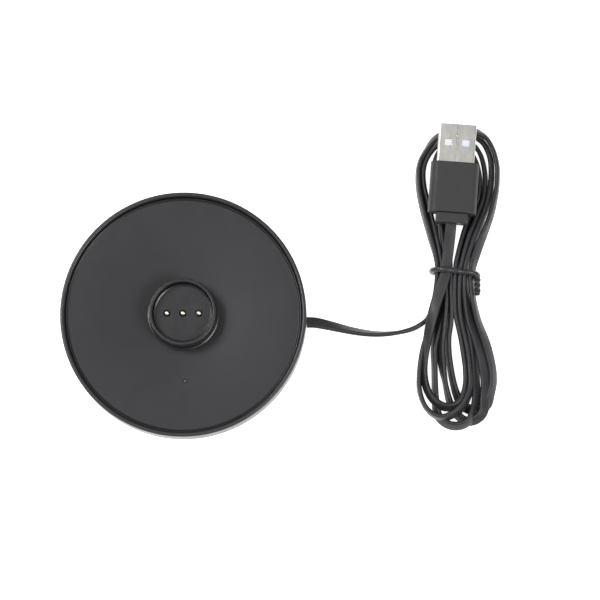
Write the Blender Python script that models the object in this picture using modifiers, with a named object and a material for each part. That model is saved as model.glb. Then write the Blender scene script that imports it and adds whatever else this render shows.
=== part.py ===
"""Round charging dock for a golf GPS watch, with its flat USB lead bundled in a hank.

Metres, +Z up. The origin is the centre of the dock's foot, on the surface that it stands on. The lead
leaves the dock towards +X, and the hank and its USB plug lie along Y beside the dock.
"""

import math

import bmesh
import bpy
from mathutils import Vector

# ---------------------------------------------------------------- driving dimensions

GAP = 0.0003  # between pieces that rest on each other
TURN_STEPS = 48  # sides of the large turned pieces
SMALL_STEPS = 16  # sides of pins and screws

# Housing and its rim
DOCK_RADIUS = 0.0393
WALL_BOTTOM = 0.0006
RIM_TOP = 0.0104
RIM_INNER_RADIUS = 0.03815
RIM_ROUND = 0.0004
WALL_INNER_RADIUS = 0.0377
LEDGE_INNER_RADIUS = 0.0355
LEDGE_BOTTOM = 0.0050
LEDGE_TOP = 0.0063

# Top plate
PLATE_RADIUS = 0.0376
PLATE_TOP = 0.0082
PLATE_BOTTOM = LEDGE_TOP + GAP
PLATE_EDGE = 0.0002
PLATE_BEAD_WIDTH = 0.0007  # a low rounded bead round the plate's rim
PLATE_BEAD_HEIGHT = 0.0002
PLATE_HOLE_RADIUS = 0.0105

# Docking collar
COLLAR_TOP = 0.0152
COLLAR_TOP_RADIUS = 0.0107
COLLAR_FOOT_RADIUS = 0.01095
COLLAR_FLANGE_RADIUS = 0.0115
COLLAR_FLANGE_HEIGHT = 0.0004
COLLAR_SPIGOT_RADIUS = 0.0102
COLLAR_BORE_RADIUS = 0.00965
COLLAR_BOTTOM = 0.0065
COLLAR_EDGE = 0.0003

# Contact carrier, the floor of the recess
FLOOR_TOP = 0.0116
CARRIER_RADIUS = 0.0093
CARRIER_EDGE = 0.0003
CARRIER_FLANGE_RADIUS = 0.0106
CARRIER_BOTTOM = 0.0055
CARRIER_FLANGE_TOP = 0.0062

# Spring pins
PIN_PITCH = 0.0051
PIN_BORE_RADIUS = 0.0011
PIN_TIP = 0.0127
BARREL_RADIUS = 0.0010
BARREL_INNER_RADIUS = 0.00086
BARREL_MOUTH_RADIUS = 0.00074
BARREL_TOP = 0.0112
BARREL_LIP = 0.0003
BARREL_FLOOR = 0.0004
PLUNGER_RADIUS = 0.00066
PISTON_RADIUS = 0.0008
PISTON_LENGTH = 0.0011
TAIL_RADIUS = 0.0004
SPRING_RADIUS = 0.00055
SPRING_WIRE_RADIUS = 0.00012
SPRING_TURNS = 5
SPRING_POINTS_A_TURN = 8
SPRING_CLEARANCE = 0.0001

# Holding magnets
MAGNET_RADIUS = 0.0019
MAGNET_THICKNESS = 0.0016
MAGNET_OFFSET = 0.0056
MAGNET_BOTTOM = 0.0082

# Circuit board and indicator
BOARD_TOP = 0.0052
BOARD_THICKNESS = 0.0008
BOARD_HALF_WIDTH = 0.0095
BOARD_BACK = 0.0090
BOARD_FRONT = -0.0250
BOARD_CORNER = 0.0020
BOARD_SCREW_PLACES = ((-0.0065, -0.0185), (0.0065, -0.0185))
BOARD_BOSS_RADIUS = 0.0019
BOARD_PILOT_RADIUS = 0.00085
BOARD_HOLE_RADIUS = 0.0009
PIN_TAIL_BELOW_BOARD = 0.0002
INDICATOR_AT = (0.0006, -0.0212)
LIGHT_PIPE_RADIUS = 0.00045
LIGHT_PIPE_HOLE_RADIUS = 0.0006
LED_SIZE = (0.0016, 0.0008, 0.0005)
LED_ABOVE_BOARD = 0.0002

# Base cover, ballast and foot
COVER_RADIUS = 0.0374
COVER_BOTTOM = WALL_BOTTOM
COVER_TOP = 0.0024
FOOT_OUTER_RADIUS = 0.0360
FOOT_INNER_RADIUS = 0.0310
FOOT_TOP = 0.0010
BALLAST_OUTER_RADIUS = 0.0345
BALLAST_INNER_RADIUS = 0.0220
BALLAST_BOTTOM = COVER_TOP + GAP
BALLAST_THICKNESS = 0.0013
BALLAST_HOLE_RADIUS = 0.0013
BALLAST_WAY_HALF = 0.0072  # room beside the lead for its clamp
BASE_SCREW_CIRCLE = 0.0250

# Screws: radius of the head, its lower and upper face, radius of the shank, and where the shank ends
BASE_SCREW = (0.0020, (0.0007, 0.0013), 0.0009, 0.0060)
BOARD_SCREW = (0.0015, (0.0035, 0.0043), 0.0007, 0.0067)
CLAMP_SCREW = (0.0014, (0.0054, 0.0060), 0.0007, 0.0014)
SCREW_TIP = 0.0004
SCREW_HEAD_EDGE = 0.0003
DRIVE_REACH = 0.6  # of the head's radius
DRIVE_HALF_WIDTH = 0.00018
DRIVE_DEPTH = 0.0003
BASE_BOSS_RADIUS = 0.0024
BASE_BOSS_BOTTOM = 0.0043
BASE_PILOT = (0.00105, 0.0035, 0.0066)  # radius, from, to
HEAD_RECESS = (0.0023, 0.0, 0.0015)
COVER_HOLE = (0.0011, 0.0010, 0.0030)

# Flat lead
CORD_WIDTH = 0.0035
CORD_THICKNESS = 0.0014
CORD_EDGE_ROUND = 0.0006
EXIT_Y = -0.0020
EXIT_Z = 0.0037
GLAND_FACE_X = 0.0390
GLAND_HALF_WIDTH = 0.0025
GLAND_HALF_HEIGHT = 0.0011
GLAND_INNER_X = 0.0362
GLAND_EDGE_ROUND = 0.0004
GLAND_CLEARANCE = 0.00015  # round the gland in the wall's slot
GLAND_FLANGE = (0.0012, 0.0036)  # thickness, half-width
LEAD_CLEARANCE = 0.0001  # round the lead in the gland
TAIL_END_X = 0.0260
CLAMP_X = 0.0305
CLAMP_SCREW_OFFSET = 0.0042
CLAMP_TOP = 0.0052
CLAMP_HALF_LENGTH = 0.0061
CLAMP_HALF_WIDTH = 0.0018
CLAMP_PILOT = (0.00085, 0.0011, 0.0030)
WIRE_RADIUS = 0.00035
WIRE_TAKE_OFF = 0.0002  # between the lead's cut end and its wires

# The route of the free lead from the gland to the hank: where it passes, and how far the flat lead has
# turned on its side there, in degrees.
LEAD_ROUTE = (
    ((0.0393, -0.0020, 0.0037), 0),
    ((0.0412, -0.0020, 0.0036), 6),
    ((0.0430, -0.0022, 0.0034), 14),
    ((0.0452, -0.0026, 0.0030), 24),
    ((0.0485, -0.0033, 0.0024), 37),
    ((0.0520, -0.0041, 0.0019), 48),
    ((0.0550, -0.0047, 0.0017), 55),
    ((0.0582, -0.0052, 0.0017), 62),
    ((0.0614, -0.0055, 0.0018), 68),
    ((0.0646, -0.0055, 0.0018), 75),
    ((0.0678, -0.0052, 0.0018), 81),
    ((0.0710, -0.0046, 0.0018), 87),
    ((0.0740, -0.0036, 0.0018), 90),
    ((0.0770, -0.0024, 0.0018), 90),
)
LEAD_STEPS = 2  # points of the lead for each stretch of the route

# Hank: half of the outline on each side of its middle line, from the far end to the near end.
HANK_MIDDLE_X = 0.0876
HANK_TOP = 0.0051
HANK_RIGHT = (
    (0.0000, 0.0618), (0.0062, 0.0603), (0.0110, 0.0560), (0.0134, 0.0480), (0.0132, 0.0400),
    (0.0104, 0.0292), (0.0066, 0.0200), (0.0054, 0.0150), (0.0052, 0.0095), (0.0062, 0.0030),
    (0.0086, -0.0038), (0.0113, -0.0115), (0.0124, -0.0195), (0.0112, -0.0280), (0.0072, -0.0345),
    (0.0020, -0.0362),
)
HANK_LEFT = (
    (-0.0040, -0.0350), (-0.0080, -0.0315), (-0.0116, -0.0255), (-0.0128, -0.0190), (-0.0120, -0.0100),
    (-0.0094, -0.0010), (-0.0070, 0.0100), (-0.0068, 0.0150), (-0.0078, 0.0200), (-0.0104, 0.0292),
    (-0.0130, 0.0400), (-0.0130, 0.0480), (-0.0106, 0.0550), (-0.0062, 0.0603),
)
HANK_STEPS = 3

# Twist tie round the hank's waist
TIE_Y = 0.0150
TIE_RADIUS = 0.00075
TIE_GROOVE = 0.0018
TIE_TAIL_RADIUS = 0.00085
TIE_TAIL_LENGTH = 0.0060
TIE_LEFT = 0.0797
TIE_RIGHT = 0.0943
TIE_TOP = 0.00885
TIE_CORNER = 0.0022

# USB plug: its origin is the middle of the overmould's front face, with the shell along its +Y
PLUG_AT = (0.08705, 0.0486, 0.0091)
PLUG_TURN = math.radians(-4.4)
SHELL_WIDTH = 0.0120
SHELL_HEIGHT = 0.0045
SHELL_LENGTH = 0.0125
SHELL_WALL = 0.00032
SHELL_SEATED = 0.0040
SHELL_CORNER = 0.0006
SHELL_CLEARANCE = 0.00015
WINDOW_OFFSET = 0.0028
WINDOW_WIDTH = 0.0027
WINDOW_LENGTH = 0.0022
WINDOW_FROM_TIP = 0.0061
TONGUE_WIDTH = 0.0110
TONGUE_LOW = 0.00015
TONGUE_HIGH = 0.00175
TONGUE_SETBACK = 0.0008
CONTACT_PLACES = (-0.0035, -0.0010, 0.0010, 0.0035)
CONTACT_WIDTH = 0.0010
CONTACT_THICKNESS = 0.0002
CONTACT_REAR = -0.0035
CONTACT_TIPS = (0.0110, 0.0100, 0.0100, 0.0110)
OVERMOULD_WIDTH = 0.0155
OVERMOULD_HEIGHT = 0.0074
OVERMOULD_LENGTH = 0.0163
OVERMOULD_ROUND = 0.0026
RELIEF_WIDTH = 0.0102
RELIEF_HEIGHT = 0.0050
RELIEF_LENGTH = 0.0032
RELIEF_ROUND = 0.0009
RELIEF_TONGUE = (0.0078, 0.0034, 0.0030)

# The last stretch of the lead, from the plug's strain relief to the hank's waist
PLUG_LEAD_ROUTE = (
    (0.08550, 0.0284, 0.00910),
    (0.08530, 0.0262, 0.00880),
    (0.08500, 0.0234, 0.00800),
    (0.08465, 0.0205, 0.00735),
    (0.08425, 0.0175, 0.00712),
    (0.08370, 0.0130, 0.00710),
)


# ---------------------------------------------------------------- scene and materials


def clear_scene():
    for obj in list(bpy.data.objects):
        bpy.data.objects.remove(obj, do_unlink=True)


def new_collection(name):
    collection = bpy.data.collections.new(name)
    bpy.context.scene.collection.children.link(collection)
    return collection


def make_material(name, colour, roughness, metallic=0.0):
    material = bpy.data.materials.new(name)
    material.use_nodes = True
    shader = material.node_tree.nodes["Principled BSDF"]
    shader.inputs["Base Color"].default_value = (*colour, 1.0)
    shader.inputs["Roughness"].default_value = roughness
    shader.inputs["Metallic"].default_value = metallic
    return material


clear_scene()
DOCK = new_collection("watch_charging_dock")
CUTTERS = new_collection("cutters")
MATERIALS = {
    "gloss_black": make_material("gloss_black", (0.020, 0.020, 0.021), 0.22),
    "matte_black": make_material("matte_black", (0.045, 0.045, 0.046), 0.55),
    "soft_black": make_material("soft_black", (0.032, 0.032, 0.034), 0.62),
    "rubber": make_material("rubber", (0.025, 0.025, 0.025), 0.85),
    "gilt": make_material("gilt", (0.86, 0.68, 0.33), 0.22, 1.0),
    "spring_steel": make_material("spring_steel", (0.60, 0.60, 0.61), 0.30, 1.0),
    "nickel": make_material("nickel", (0.70, 0.69, 0.66), 0.26, 1.0),
    "zinc_steel": make_material("zinc_steel", (0.55, 0.56, 0.57), 0.40, 1.0),
    "circuit_green": make_material("circuit_green", (0.03, 0.16, 0.07), 0.40),
    "white_plastic": make_material("white_plastic", (0.80, 0.83, 0.88), 0.40),
    "clear_plastic": make_material("clear_plastic", (0.75, 0.78, 0.80), 0.20),
    "wire_red": make_material("wire_red", (0.55, 0.03, 0.03), 0.50),
    "wire_black": make_material("wire_black", (0.02, 0.02, 0.02), 0.50),
    "wire_white": make_material("wire_white", (0.78, 0.78, 0.78), 0.50),
}


# ---------------------------------------------------------------- shape helpers


def object_from_bmesh(name, shape):
    mesh = bpy.data.meshes.new(name)
    shape.to_mesh(mesh)
    shape.free()
    return bpy.data.objects.new(name, mesh)


def box(name, low, high):
    shape = bmesh.new()
    bmesh.ops.create_cube(shape, size=1.0)
    size = Vector(high) - Vector(low)
    middle = (Vector(high) + Vector(low)) / 2
    bmesh.ops.scale(shape, vec=size, verts=shape.verts)
    bmesh.ops.translate(shape, vec=middle, verts=shape.verts)
    return object_from_bmesh(name, shape)


def rounded_box(name, low, high, radius, axis, segments=3):
    """A box whose four edges along the axis (0, 1 or 2) are rounded."""
    obj = box(name, low, high)
    shape = bmesh.new()
    shape.from_mesh(obj.data)
    along = [
        edge
        for edge in shape.edges
        if abs((edge.verts[0].co - edge.verts[1].co).normalized()[axis]) > 0.9
    ]
    bmesh.ops.bevel(
        shape, geom=along, offset=radius, segments=segments, profile=0.5, affect="EDGES"
    )
    shape.to_mesh(obj.data)
    shape.free()
    return obj


def cylinder(name, radius, low_z, high_z, at=(0.0, 0.0), steps=SMALL_STEPS):
    shape = bmesh.new()
    bmesh.ops.create_cone(
        shape, cap_ends=True, segments=steps, radius1=radius, radius2=radius, depth=high_z - low_z
    )
    bmesh.ops.translate(shape, vec=(0, 0, (low_z + high_z) / 2), verts=shape.verts)
    obj = object_from_bmesh(name, shape)
    obj.location = (at[0], at[1], 0.0)
    return obj


def turned(name, profile, closed=False, steps=TURN_STEPS, at=(0.0, 0.0)):
    """A profile of (radius, height) points turned about Z. A ring's profile is closed."""
    count = len(profile)
    edges = [(i, i + 1) for i in range(count - 1)]
    if closed:
        edges.append((count - 1, 0))
    mesh = bpy.data.meshes.new(name)
    mesh.from_pydata([(radius, 0.0, height) for radius, height in profile], edges, [])
    obj = bpy.data.objects.new(name, mesh)
    obj.location = (at[0], at[1], 0.0)
    screw = obj.modifiers.new("turn", "SCREW")
    screw.steps = steps
    screw.render_steps = steps
    screw.use_merge_vertices = True
    screw.merge_threshold = 0.000001
    return obj


def add_boolean(obj, other, operation):
    boolean = obj.modifiers.new(operation.lower(), "BOOLEAN")
    boolean.operation = operation
    boolean.solver = "EXACT"
    boolean.object = other
    CUTTERS.objects.link(other)
    other.hide_render = True
    other.display_type = "WIRE"
    return obj


def cut(obj, *cutters):
    for cutter in cutters:
        add_boolean(obj, cutter, "DIFFERENCE")
    return obj


def join(obj, *others):
    for other in others:
        add_boolean(obj, other, "UNION")
    return obj


def settle(obj):
    """Applies the modifiers, and shades round faces smooth up to the edges."""
    bpy.context.view_layer.update()
    graph = bpy.context.evaluated_depsgraph_get()
    mesh = bpy.data.meshes.new_from_object(obj.evaluated_get(graph))
    mesh.name = obj.name
    obj.modifiers.clear()
    obj.data = mesh
    mesh.shade_smooth()
    mesh.set_sharp_from_angle(angle=math.radians(32))


def add_part(obj, material, parent=None):
    """Puts a finished piece in the dock's collection."""
    DOCK.objects.link(obj)
    if parent is not None:
        obj.parent = parent
    if obj.type == "MESH":
        settle(obj)
    obj.data.materials.clear()
    obj.data.materials.append(MATERIALS[material])
    return obj


def smooth_route(points, steps, closed=False):
    """Points on a smooth curve through the given ones, steps to each stretch between two of them."""
    points = [Vector(p) for p in points]
    count = len(points)
    stretches = count if closed else count - 1
    found = []
    for i in range(stretches):
        if closed:
            before, start, end, after = (points[(i + k - 1) % count] for k in range(4))
        else:
            before, start = points[max(i - 1, 0)], points[i]
            end, after = points[i + 1], points[min(i + 2, count - 1)]
        for step in range(steps):
            t = step / steps
            found.append(
                0.5
                * (
                    2 * start
                    + (end - before) * t
                    + (2 * before - 5 * start + 4 * end - after) * t**2
                    + (3 * start - before - 3 * end + after) * t**3
                )
            )
    if not closed:
        found.append(points[-1])
    return found


def poly_curve(name, points, tilts=None, closed=False):
    curve = bpy.data.curves.new(name, "CURVE")
    curve.dimensions = "3D"
    spline = curve.splines.new("POLY")
    spline.points.add(len(points) - 1)
    for i, point in enumerate(points):
        spline.points[i].co = (*point, 1.0)
        if tilts:
            spline.points[i].tilt = tilts[i]
    spline.use_cyclic_u = closed
    return bpy.data.objects.new(name, curve)


def tube(name, points, radius, closed=False):
    obj = poly_curve(name, points, closed=closed)
    obj.data.bevel_depth = radius
    obj.data.bevel_resolution = 2
    obj.data.use_fill_caps = not closed
    return obj


def mesh_from_curve(obj):
    """The curve's solid as a mesh with its caps welded, in place of the curve."""
    bpy.context.scene.collection.objects.link(obj)
    bpy.context.view_layer.update()
    graph = bpy.context.evaluated_depsgraph_get()
    mesh = bpy.data.meshes.new_from_object(obj.evaluated_get(graph))
    shape = bmesh.new()
    shape.from_mesh(mesh)
    bmesh.ops.remove_doubles(shape, verts=shape.verts, dist=0.000002)
    bmesh.ops.recalc_face_normals(shape, faces=shape.faces)
    shape.to_mesh(mesh)
    shape.free()
    name = obj.name
    made = bpy.data.objects.new(name, mesh)
    made.matrix_world = obj.matrix_world.copy()
    bpy.data.objects.remove(obj, do_unlink=True)
    made.name = name
    return made


def stadium(width, thickness, arc_steps=3):
    """The outline of a flat lead's section, with round edges, in its own X and Y."""
    radius = thickness / 2
    reach = width / 2 - radius
    outline = []
    for side in (1, -1):
        for step in range(arc_steps + 1):
            angle = math.pi * (step / arc_steps - 0.5)
            outline.append((side * (reach + radius * math.cos(angle)), side * radius * math.sin(angle), 0.0))
    return outline


def flat_lead(name, points, turns):
    """A flat lead along the points. A turn of 0 lies flat, and a quarter turn stands on edge."""
    profile = poly_curve(name + "_section", stadium(CORD_WIDTH, CORD_THICKNESS), closed=True)
    CUTTERS.objects.link(profile)
    profile.hide_render = True
    obj = poly_curve(name, points, tilts=turns)
    obj.data.twist_mode = "Z_UP"
    obj.data.bevel_mode = "OBJECT"
    obj.data.bevel_object = profile
    obj.data.use_fill_caps = True
    return mesh_from_curve(obj)


# ---------------------------------------------------------------- dock


def housing():
    profile = [
        (DOCK_RADIUS - RIM_ROUND, RIM_TOP),
        (DOCK_RADIUS - 0.3 * RIM_ROUND, RIM_TOP - 0.3 * RIM_ROUND),
        (DOCK_RADIUS, RIM_TOP - RIM_ROUND),
        (DOCK_RADIUS, WALL_BOTTOM + RIM_ROUND),
        (DOCK_RADIUS - RIM_ROUND, WALL_BOTTOM),
        (WALL_INNER_RADIUS, WALL_BOTTOM),
        (WALL_INNER_RADIUS, LEDGE_BOTTOM),
        (LEDGE_INNER_RADIUS, LEDGE_BOTTOM),
        (LEDGE_INNER_RADIUS, LEDGE_TOP),
        (RIM_INNER_RADIUS, LEDGE_TOP),
        (RIM_INNER_RADIUS, RIM_TOP),
    ]
    obj = turned("housing", profile, closed=True)
    half_width = GLAND_HALF_WIDTH + GLAND_CLEARANCE
    half_height = GLAND_HALF_HEIGHT + GLAND_CLEARANCE
    slot = box(
        "gland_slot",
        (WALL_INNER_RADIUS - 0.001, EXIT_Y - half_width, EXIT_Z - half_height),
        (DOCK_RADIUS + 0.001, EXIT_Y + half_width, EXIT_Z + half_height),
    )
    return add_part(cut(obj, slot), "gloss_black")


def base_screw_places():
    reach = BASE_SCREW_CIRCLE * math.sqrt(0.5)
    return [(reach, reach), (-reach, reach), (-reach, -reach), (reach, -reach)]


def top_plate():
    profile = [
        (PLATE_HOLE_RADIUS, PLATE_TOP),
        (PLATE_RADIUS - PLATE_BEAD_WIDTH, PLATE_TOP),
        (PLATE_RADIUS - 0.7 * PLATE_BEAD_WIDTH, PLATE_TOP + PLATE_BEAD_HEIGHT),
        (PLATE_RADIUS - PLATE_EDGE, PLATE_TOP + PLATE_BEAD_HEIGHT),
        (PLATE_RADIUS, PLATE_TOP + PLATE_BEAD_HEIGHT - PLATE_EDGE),
        (PLATE_RADIUS, PLATE_BOTTOM),
        (PLATE_HOLE_RADIUS, PLATE_BOTTOM),
    ]
    obj = turned("top_plate", profile, closed=True)
    boss_root = PLATE_BOTTOM + 0.0004
    for i, place in enumerate(base_screw_places()):
        boss = cylinder(f"base_boss_{i}", BASE_BOSS_RADIUS, BASE_BOSS_BOTTOM, boss_root, place)
        pilot = cylinder(f"base_pilot_{i}", *BASE_PILOT, place)
        cut(join(obj, boss), pilot)
    for i, place in enumerate(BOARD_SCREW_PLACES):
        boss = cylinder(f"board_boss_{i}", BOARD_BOSS_RADIUS, BOARD_TOP + GAP, boss_root, place)
        pilot = cylinder(f"board_pilot_{i}", BOARD_PILOT_RADIUS, 0.0045, 0.0072, place)
        cut(join(obj, boss), pilot)
    hole_low = PLATE_BOTTOM - 0.001
    cut(obj, cylinder("light_pipe_hole", LIGHT_PIPE_HOLE_RADIUS, hole_low, PLATE_TOP + 0.001, INDICATOR_AT))
    return add_part(obj, "matte_black")


def docking_collar():
    flange_bottom = PLATE_TOP + GAP
    flange_top = flange_bottom + COLLAR_FLANGE_HEIGHT
    profile = [
        (COLLAR_TOP_RADIUS - COLLAR_EDGE, COLLAR_TOP),
        (COLLAR_TOP_RADIUS, COLLAR_TOP - COLLAR_EDGE),
        (COLLAR_FOOT_RADIUS, flange_top + 0.0003),
        (COLLAR_FLANGE_RADIUS - 0.0002, flange_top),
        (COLLAR_FLANGE_RADIUS, flange_bottom),
        (COLLAR_SPIGOT_RADIUS, flange_bottom),
        (COLLAR_SPIGOT_RADIUS, COLLAR_BOTTOM),
        (COLLAR_BORE_RADIUS, COLLAR_BOTTOM),
        (COLLAR_BORE_RADIUS, COLLAR_TOP - COLLAR_EDGE),
        (COLLAR_BORE_RADIUS + COLLAR_EDGE, COLLAR_TOP),
    ]
    return add_part(turned("docking_collar", profile, closed=True), "matte_black")


def contact_carrier():
    profile = [
        (0.0, FLOOR_TOP),
        (CARRIER_RADIUS - CARRIER_EDGE, FLOOR_TOP),
        (CARRIER_RADIUS, FLOOR_TOP - CARRIER_EDGE),
        (CARRIER_RADIUS, CARRIER_FLANGE_TOP),
        (CARRIER_FLANGE_RADIUS, CARRIER_FLANGE_TOP),
        (CARRIER_FLANGE_RADIUS, CARRIER_BOTTOM),
        (0.0, CARRIER_BOTTOM),
    ]
    obj = turned("contact_carrier", profile, steps=32)
    for i, x in enumerate(pin_places()):
        cut(obj, cylinder(f"pin_bore_{i}", PIN_BORE_RADIUS, 0.004, 0.013, (x, 0.0)))
    pocket_top = MAGNET_BOTTOM + MAGNET_THICKNESS + GAP
    for i, y in enumerate((MAGNET_OFFSET, -MAGNET_OFFSET)):
        cut(obj, cylinder(f"magnet_pocket_{i}", MAGNET_RADIUS + GAP, 0.004, pocket_top, (0.0, y)))
    return add_part(obj, "matte_black")


def magnets():
    for name, y in (("magnet_rear", MAGNET_OFFSET), ("magnet_front", -MAGNET_OFFSET)):
        top = MAGNET_BOTTOM + MAGNET_THICKNESS
        add_part(cylinder(name, MAGNET_RADIUS, MAGNET_BOTTOM, top, (0.0, y)), "nickel")


def pin_places():
    return (-PIN_PITCH, 0.0, PIN_PITCH)


def pin_barrel(name, x):
    """A sleeve with a floor inside, a lip that keeps the plunger in, and a tail through the board."""
    floor = CARRIER_BOTTOM + BARREL_FLOOR
    tail_end = BOARD_TOP - BOARD_THICKNESS - PIN_TAIL_BELOW_BOARD
    profile = [
        (0.0, floor),
        (BARREL_INNER_RADIUS, floor),
        (BARREL_INNER_RADIUS, BARREL_TOP - BARREL_LIP),
        (BARREL_MOUTH_RADIUS, BARREL_TOP - BARREL_LIP),
        (BARREL_MOUTH_RADIUS, BARREL_TOP),
        (BARREL_RADIUS, BARREL_TOP),
        (BARREL_RADIUS, CARRIER_BOTTOM),
        (TAIL_RADIUS, CARRIER_BOTTOM),
        (TAIL_RADIUS, tail_end),
        (0.0, tail_end),
    ]
    add_part(turned(name, profile, steps=SMALL_STEPS, at=(x, 0.0)), "gilt")


def piston_bottom():
    return BARREL_TOP - BARREL_LIP - SPRING_CLEARANCE - PISTON_LENGTH


def pin_plunger(name, x):
    """A domed pin on a piston that the barrel's lip keeps in. It is at the top of its travel."""
    dome = [
        (PLUNGER_RADIUS * math.sin(a), PIN_TIP - 0.7 * PLUNGER_RADIUS * (1 - math.cos(a)))
        for a in (math.radians(18 * k) for k in range(6))
    ]
    low = piston_bottom()
    profile = dome + [
        (PLUNGER_RADIUS, low + PISTON_LENGTH),
        (PISTON_RADIUS, low + PISTON_LENGTH),
        (PISTON_RADIUS, low),
        (0.0, low),
    ]
    add_part(turned(name, profile, steps=SMALL_STEPS, at=(x, 0.0)), "gilt")


def pin_spring(name, x):
    low = CARRIER_BOTTOM + BARREL_FLOOR + SPRING_WIRE_RADIUS + SPRING_CLEARANCE
    high = piston_bottom() - SPRING_WIRE_RADIUS - SPRING_CLEARANCE
    count = SPRING_TURNS * SPRING_POINTS_A_TURN
    points = []
    for i in range(count + 1):
        angle = 2 * math.pi * i / SPRING_POINTS_A_TURN
        height = low + (high - low) * i / count
        points.append((SPRING_RADIUS * math.cos(angle), SPRING_RADIUS * math.sin(angle), height))
    obj = tube(name, points, SPRING_WIRE_RADIUS)
    obj.data.bevel_resolution = 0
    obj.location = (x, 0.0, 0.0)
    add_part(mesh_from_curve(obj), "spring_steel")


def spring_pins():
    for side, x in zip(("left", "middle", "right"), pin_places()):
        pin_barrel(f"pin_barrel_{side}", x)
        pin_plunger(f"pin_plunger_{side}", x)
        pin_spring(f"pin_spring_{side}", x)


def circuit_board():
    obj = rounded_box(
        "circuit_board",
        (-BOARD_HALF_WIDTH, BOARD_FRONT, BOARD_TOP - BOARD_THICKNESS),
        (BOARD_HALF_WIDTH, BOARD_BACK, BOARD_TOP),
        BOARD_CORNER,
        axis=2,
    )
    for i, x in enumerate(pin_places()):
        cut(obj, cylinder(f"tail_hole_{i}", TAIL_RADIUS + 0.0001, 0.003, 0.006, (x, 0.0), steps=12))
    for i, place in enumerate(BOARD_SCREW_PLACES):
        cut(obj, cylinder(f"board_hole_{i}", BOARD_HOLE_RADIUS, 0.003, 0.006, place, steps=12))
    add_part(obj, "circuit_green")


def indicator():
    x, y = INDICATOR_AT
    length, width, height = LED_SIZE
    low = BOARD_TOP + LED_ABOVE_BOARD
    top = low + height
    led = box("indicator_led", (x - length / 2, y - width / 2, low), (x + length / 2, y + width / 2, top))
    add_part(led, "white_plastic")
    pipe = cylinder("indicator_light_pipe", LIGHT_PIPE_RADIUS, top + LED_ABOVE_BOARD, PLATE_TOP, INDICATOR_AT)
    add_part(pipe, "clear_plastic")


def screw(name, place, sizes, head_below=True):
    """A pan-head screw with a cross drive. sizes is as in BASE_SCREW."""
    head_radius, (low, high), shank_radius, shank_end = sizes
    if head_below:
        profile = [
            (0.0, shank_end),
            (shank_radius, shank_end - SCREW_TIP),
            (shank_radius, high),
            (head_radius, high),
            (head_radius, low + 0.7 * SCREW_HEAD_EDGE),
            (head_radius - SCREW_HEAD_EDGE, low),
            (0.0, low),
        ]
    else:
        profile = [
            (0.0, high),
            (head_radius - SCREW_HEAD_EDGE, high),
            (head_radius, high - 0.7 * SCREW_HEAD_EDGE),
            (head_radius, low),
            (shank_radius, low),
            (shank_radius, shank_end + SCREW_TIP),
            (0.0, shank_end),
        ]
    obj = turned(name, profile, steps=12, at=place)
    face = low if head_below else high
    reach = DRIVE_REACH * head_radius
    for i, (half_x, half_y) in enumerate(((reach, DRIVE_HALF_WIDTH), (DRIVE_HALF_WIDTH, reach))):
        arm = box(
            f"{name}_drive_{i}",
            (place[0] - half_x, place[1] - half_y, face - DRIVE_DEPTH),
            (place[0] + half_x, place[1] + half_y, face + DRIVE_DEPTH),
        )
        cut(obj, arm)
    add_part(obj, "zinc_steel")


def clamp_screw_place(side):
    return (CLAMP_X, EXIT_Y + side * CLAMP_SCREW_OFFSET)


def screws():
    for i, place in enumerate(base_screw_places()):
        screw(f"base_screw_{i + 1}", place, BASE_SCREW)
    for name, place in zip(("board_screw_left", "board_screw_right"), BOARD_SCREW_PLACES):
        screw(name, place, BOARD_SCREW)
    for name, side in (("clamp_screw_rear", 1), ("clamp_screw_front", -1)):
        screw(name, clamp_screw_place(side), CLAMP_SCREW, head_below=False)


def base_cover():
    profile = [
        (0.0, COVER_TOP),
        (COVER_RADIUS, COVER_TOP),
        (COVER_RADIUS, COVER_BOTTOM),
        (FOOT_OUTER_RADIUS + GAP, COVER_BOTTOM),
        (FOOT_OUTER_RADIUS + GAP, FOOT_TOP + GAP),
        (FOOT_INNER_RADIUS - GAP, FOOT_TOP + GAP),
        (FOOT_INNER_RADIUS - GAP, COVER_BOTTOM),
        (0.0, COVER_BOTTOM),
    ]
    obj = turned("base_cover", profile)
    for i, place in enumerate(base_screw_places()):
        cut(obj, cylinder(f"head_recess_{i}", *HEAD_RECESS, place))
        cut(obj, cylinder(f"cover_hole_{i}", *COVER_HOLE, place))
    for i, side in enumerate((1, -1)):
        cut(obj, cylinder(f"clamp_pilot_{i}", *CLAMP_PILOT, clamp_screw_place(side)))
    add_part(obj, "matte_black")


def foot_ring():
    profile = [
        (FOOT_OUTER_RADIUS, FOOT_TOP),
        (FOOT_OUTER_RADIUS, 0.0002),
        (FOOT_OUTER_RADIUS - 0.0002, 0.0),
        (FOOT_INNER_RADIUS + 0.0002, 0.0),
        (FOOT_INNER_RADIUS, 0.0002),
        (FOOT_INNER_RADIUS, FOOT_TOP),
    ]
    add_part(turned("foot_ring", profile, closed=True), "rubber")


def ballast_plate():
    top = BALLAST_BOTTOM + BALLAST_THICKNESS
    profile = [
        (BALLAST_OUTER_RADIUS, top),
        (BALLAST_OUTER_RADIUS, BALLAST_BOTTOM),
        (BALLAST_INNER_RADIUS, BALLAST_BOTTOM),
        (BALLAST_INNER_RADIUS, top),
    ]
    obj = turned("ballast_plate", profile, closed=True)
    for i, place in enumerate(base_screw_places()):
        cut(obj, cylinder(f"ballast_hole_{i}", BALLAST_HOLE_RADIUS, 0.002, 0.005, place))
    lead_way = box(
        "ballast_lead_way",
        (0.0150, EXIT_Y - BALLAST_WAY_HALF, 0.002),
        (0.0400, EXIT_Y + BALLAST_WAY_HALF, 0.005),
    )
    add_part(cut(obj, lead_way), "zinc_steel")


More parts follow.
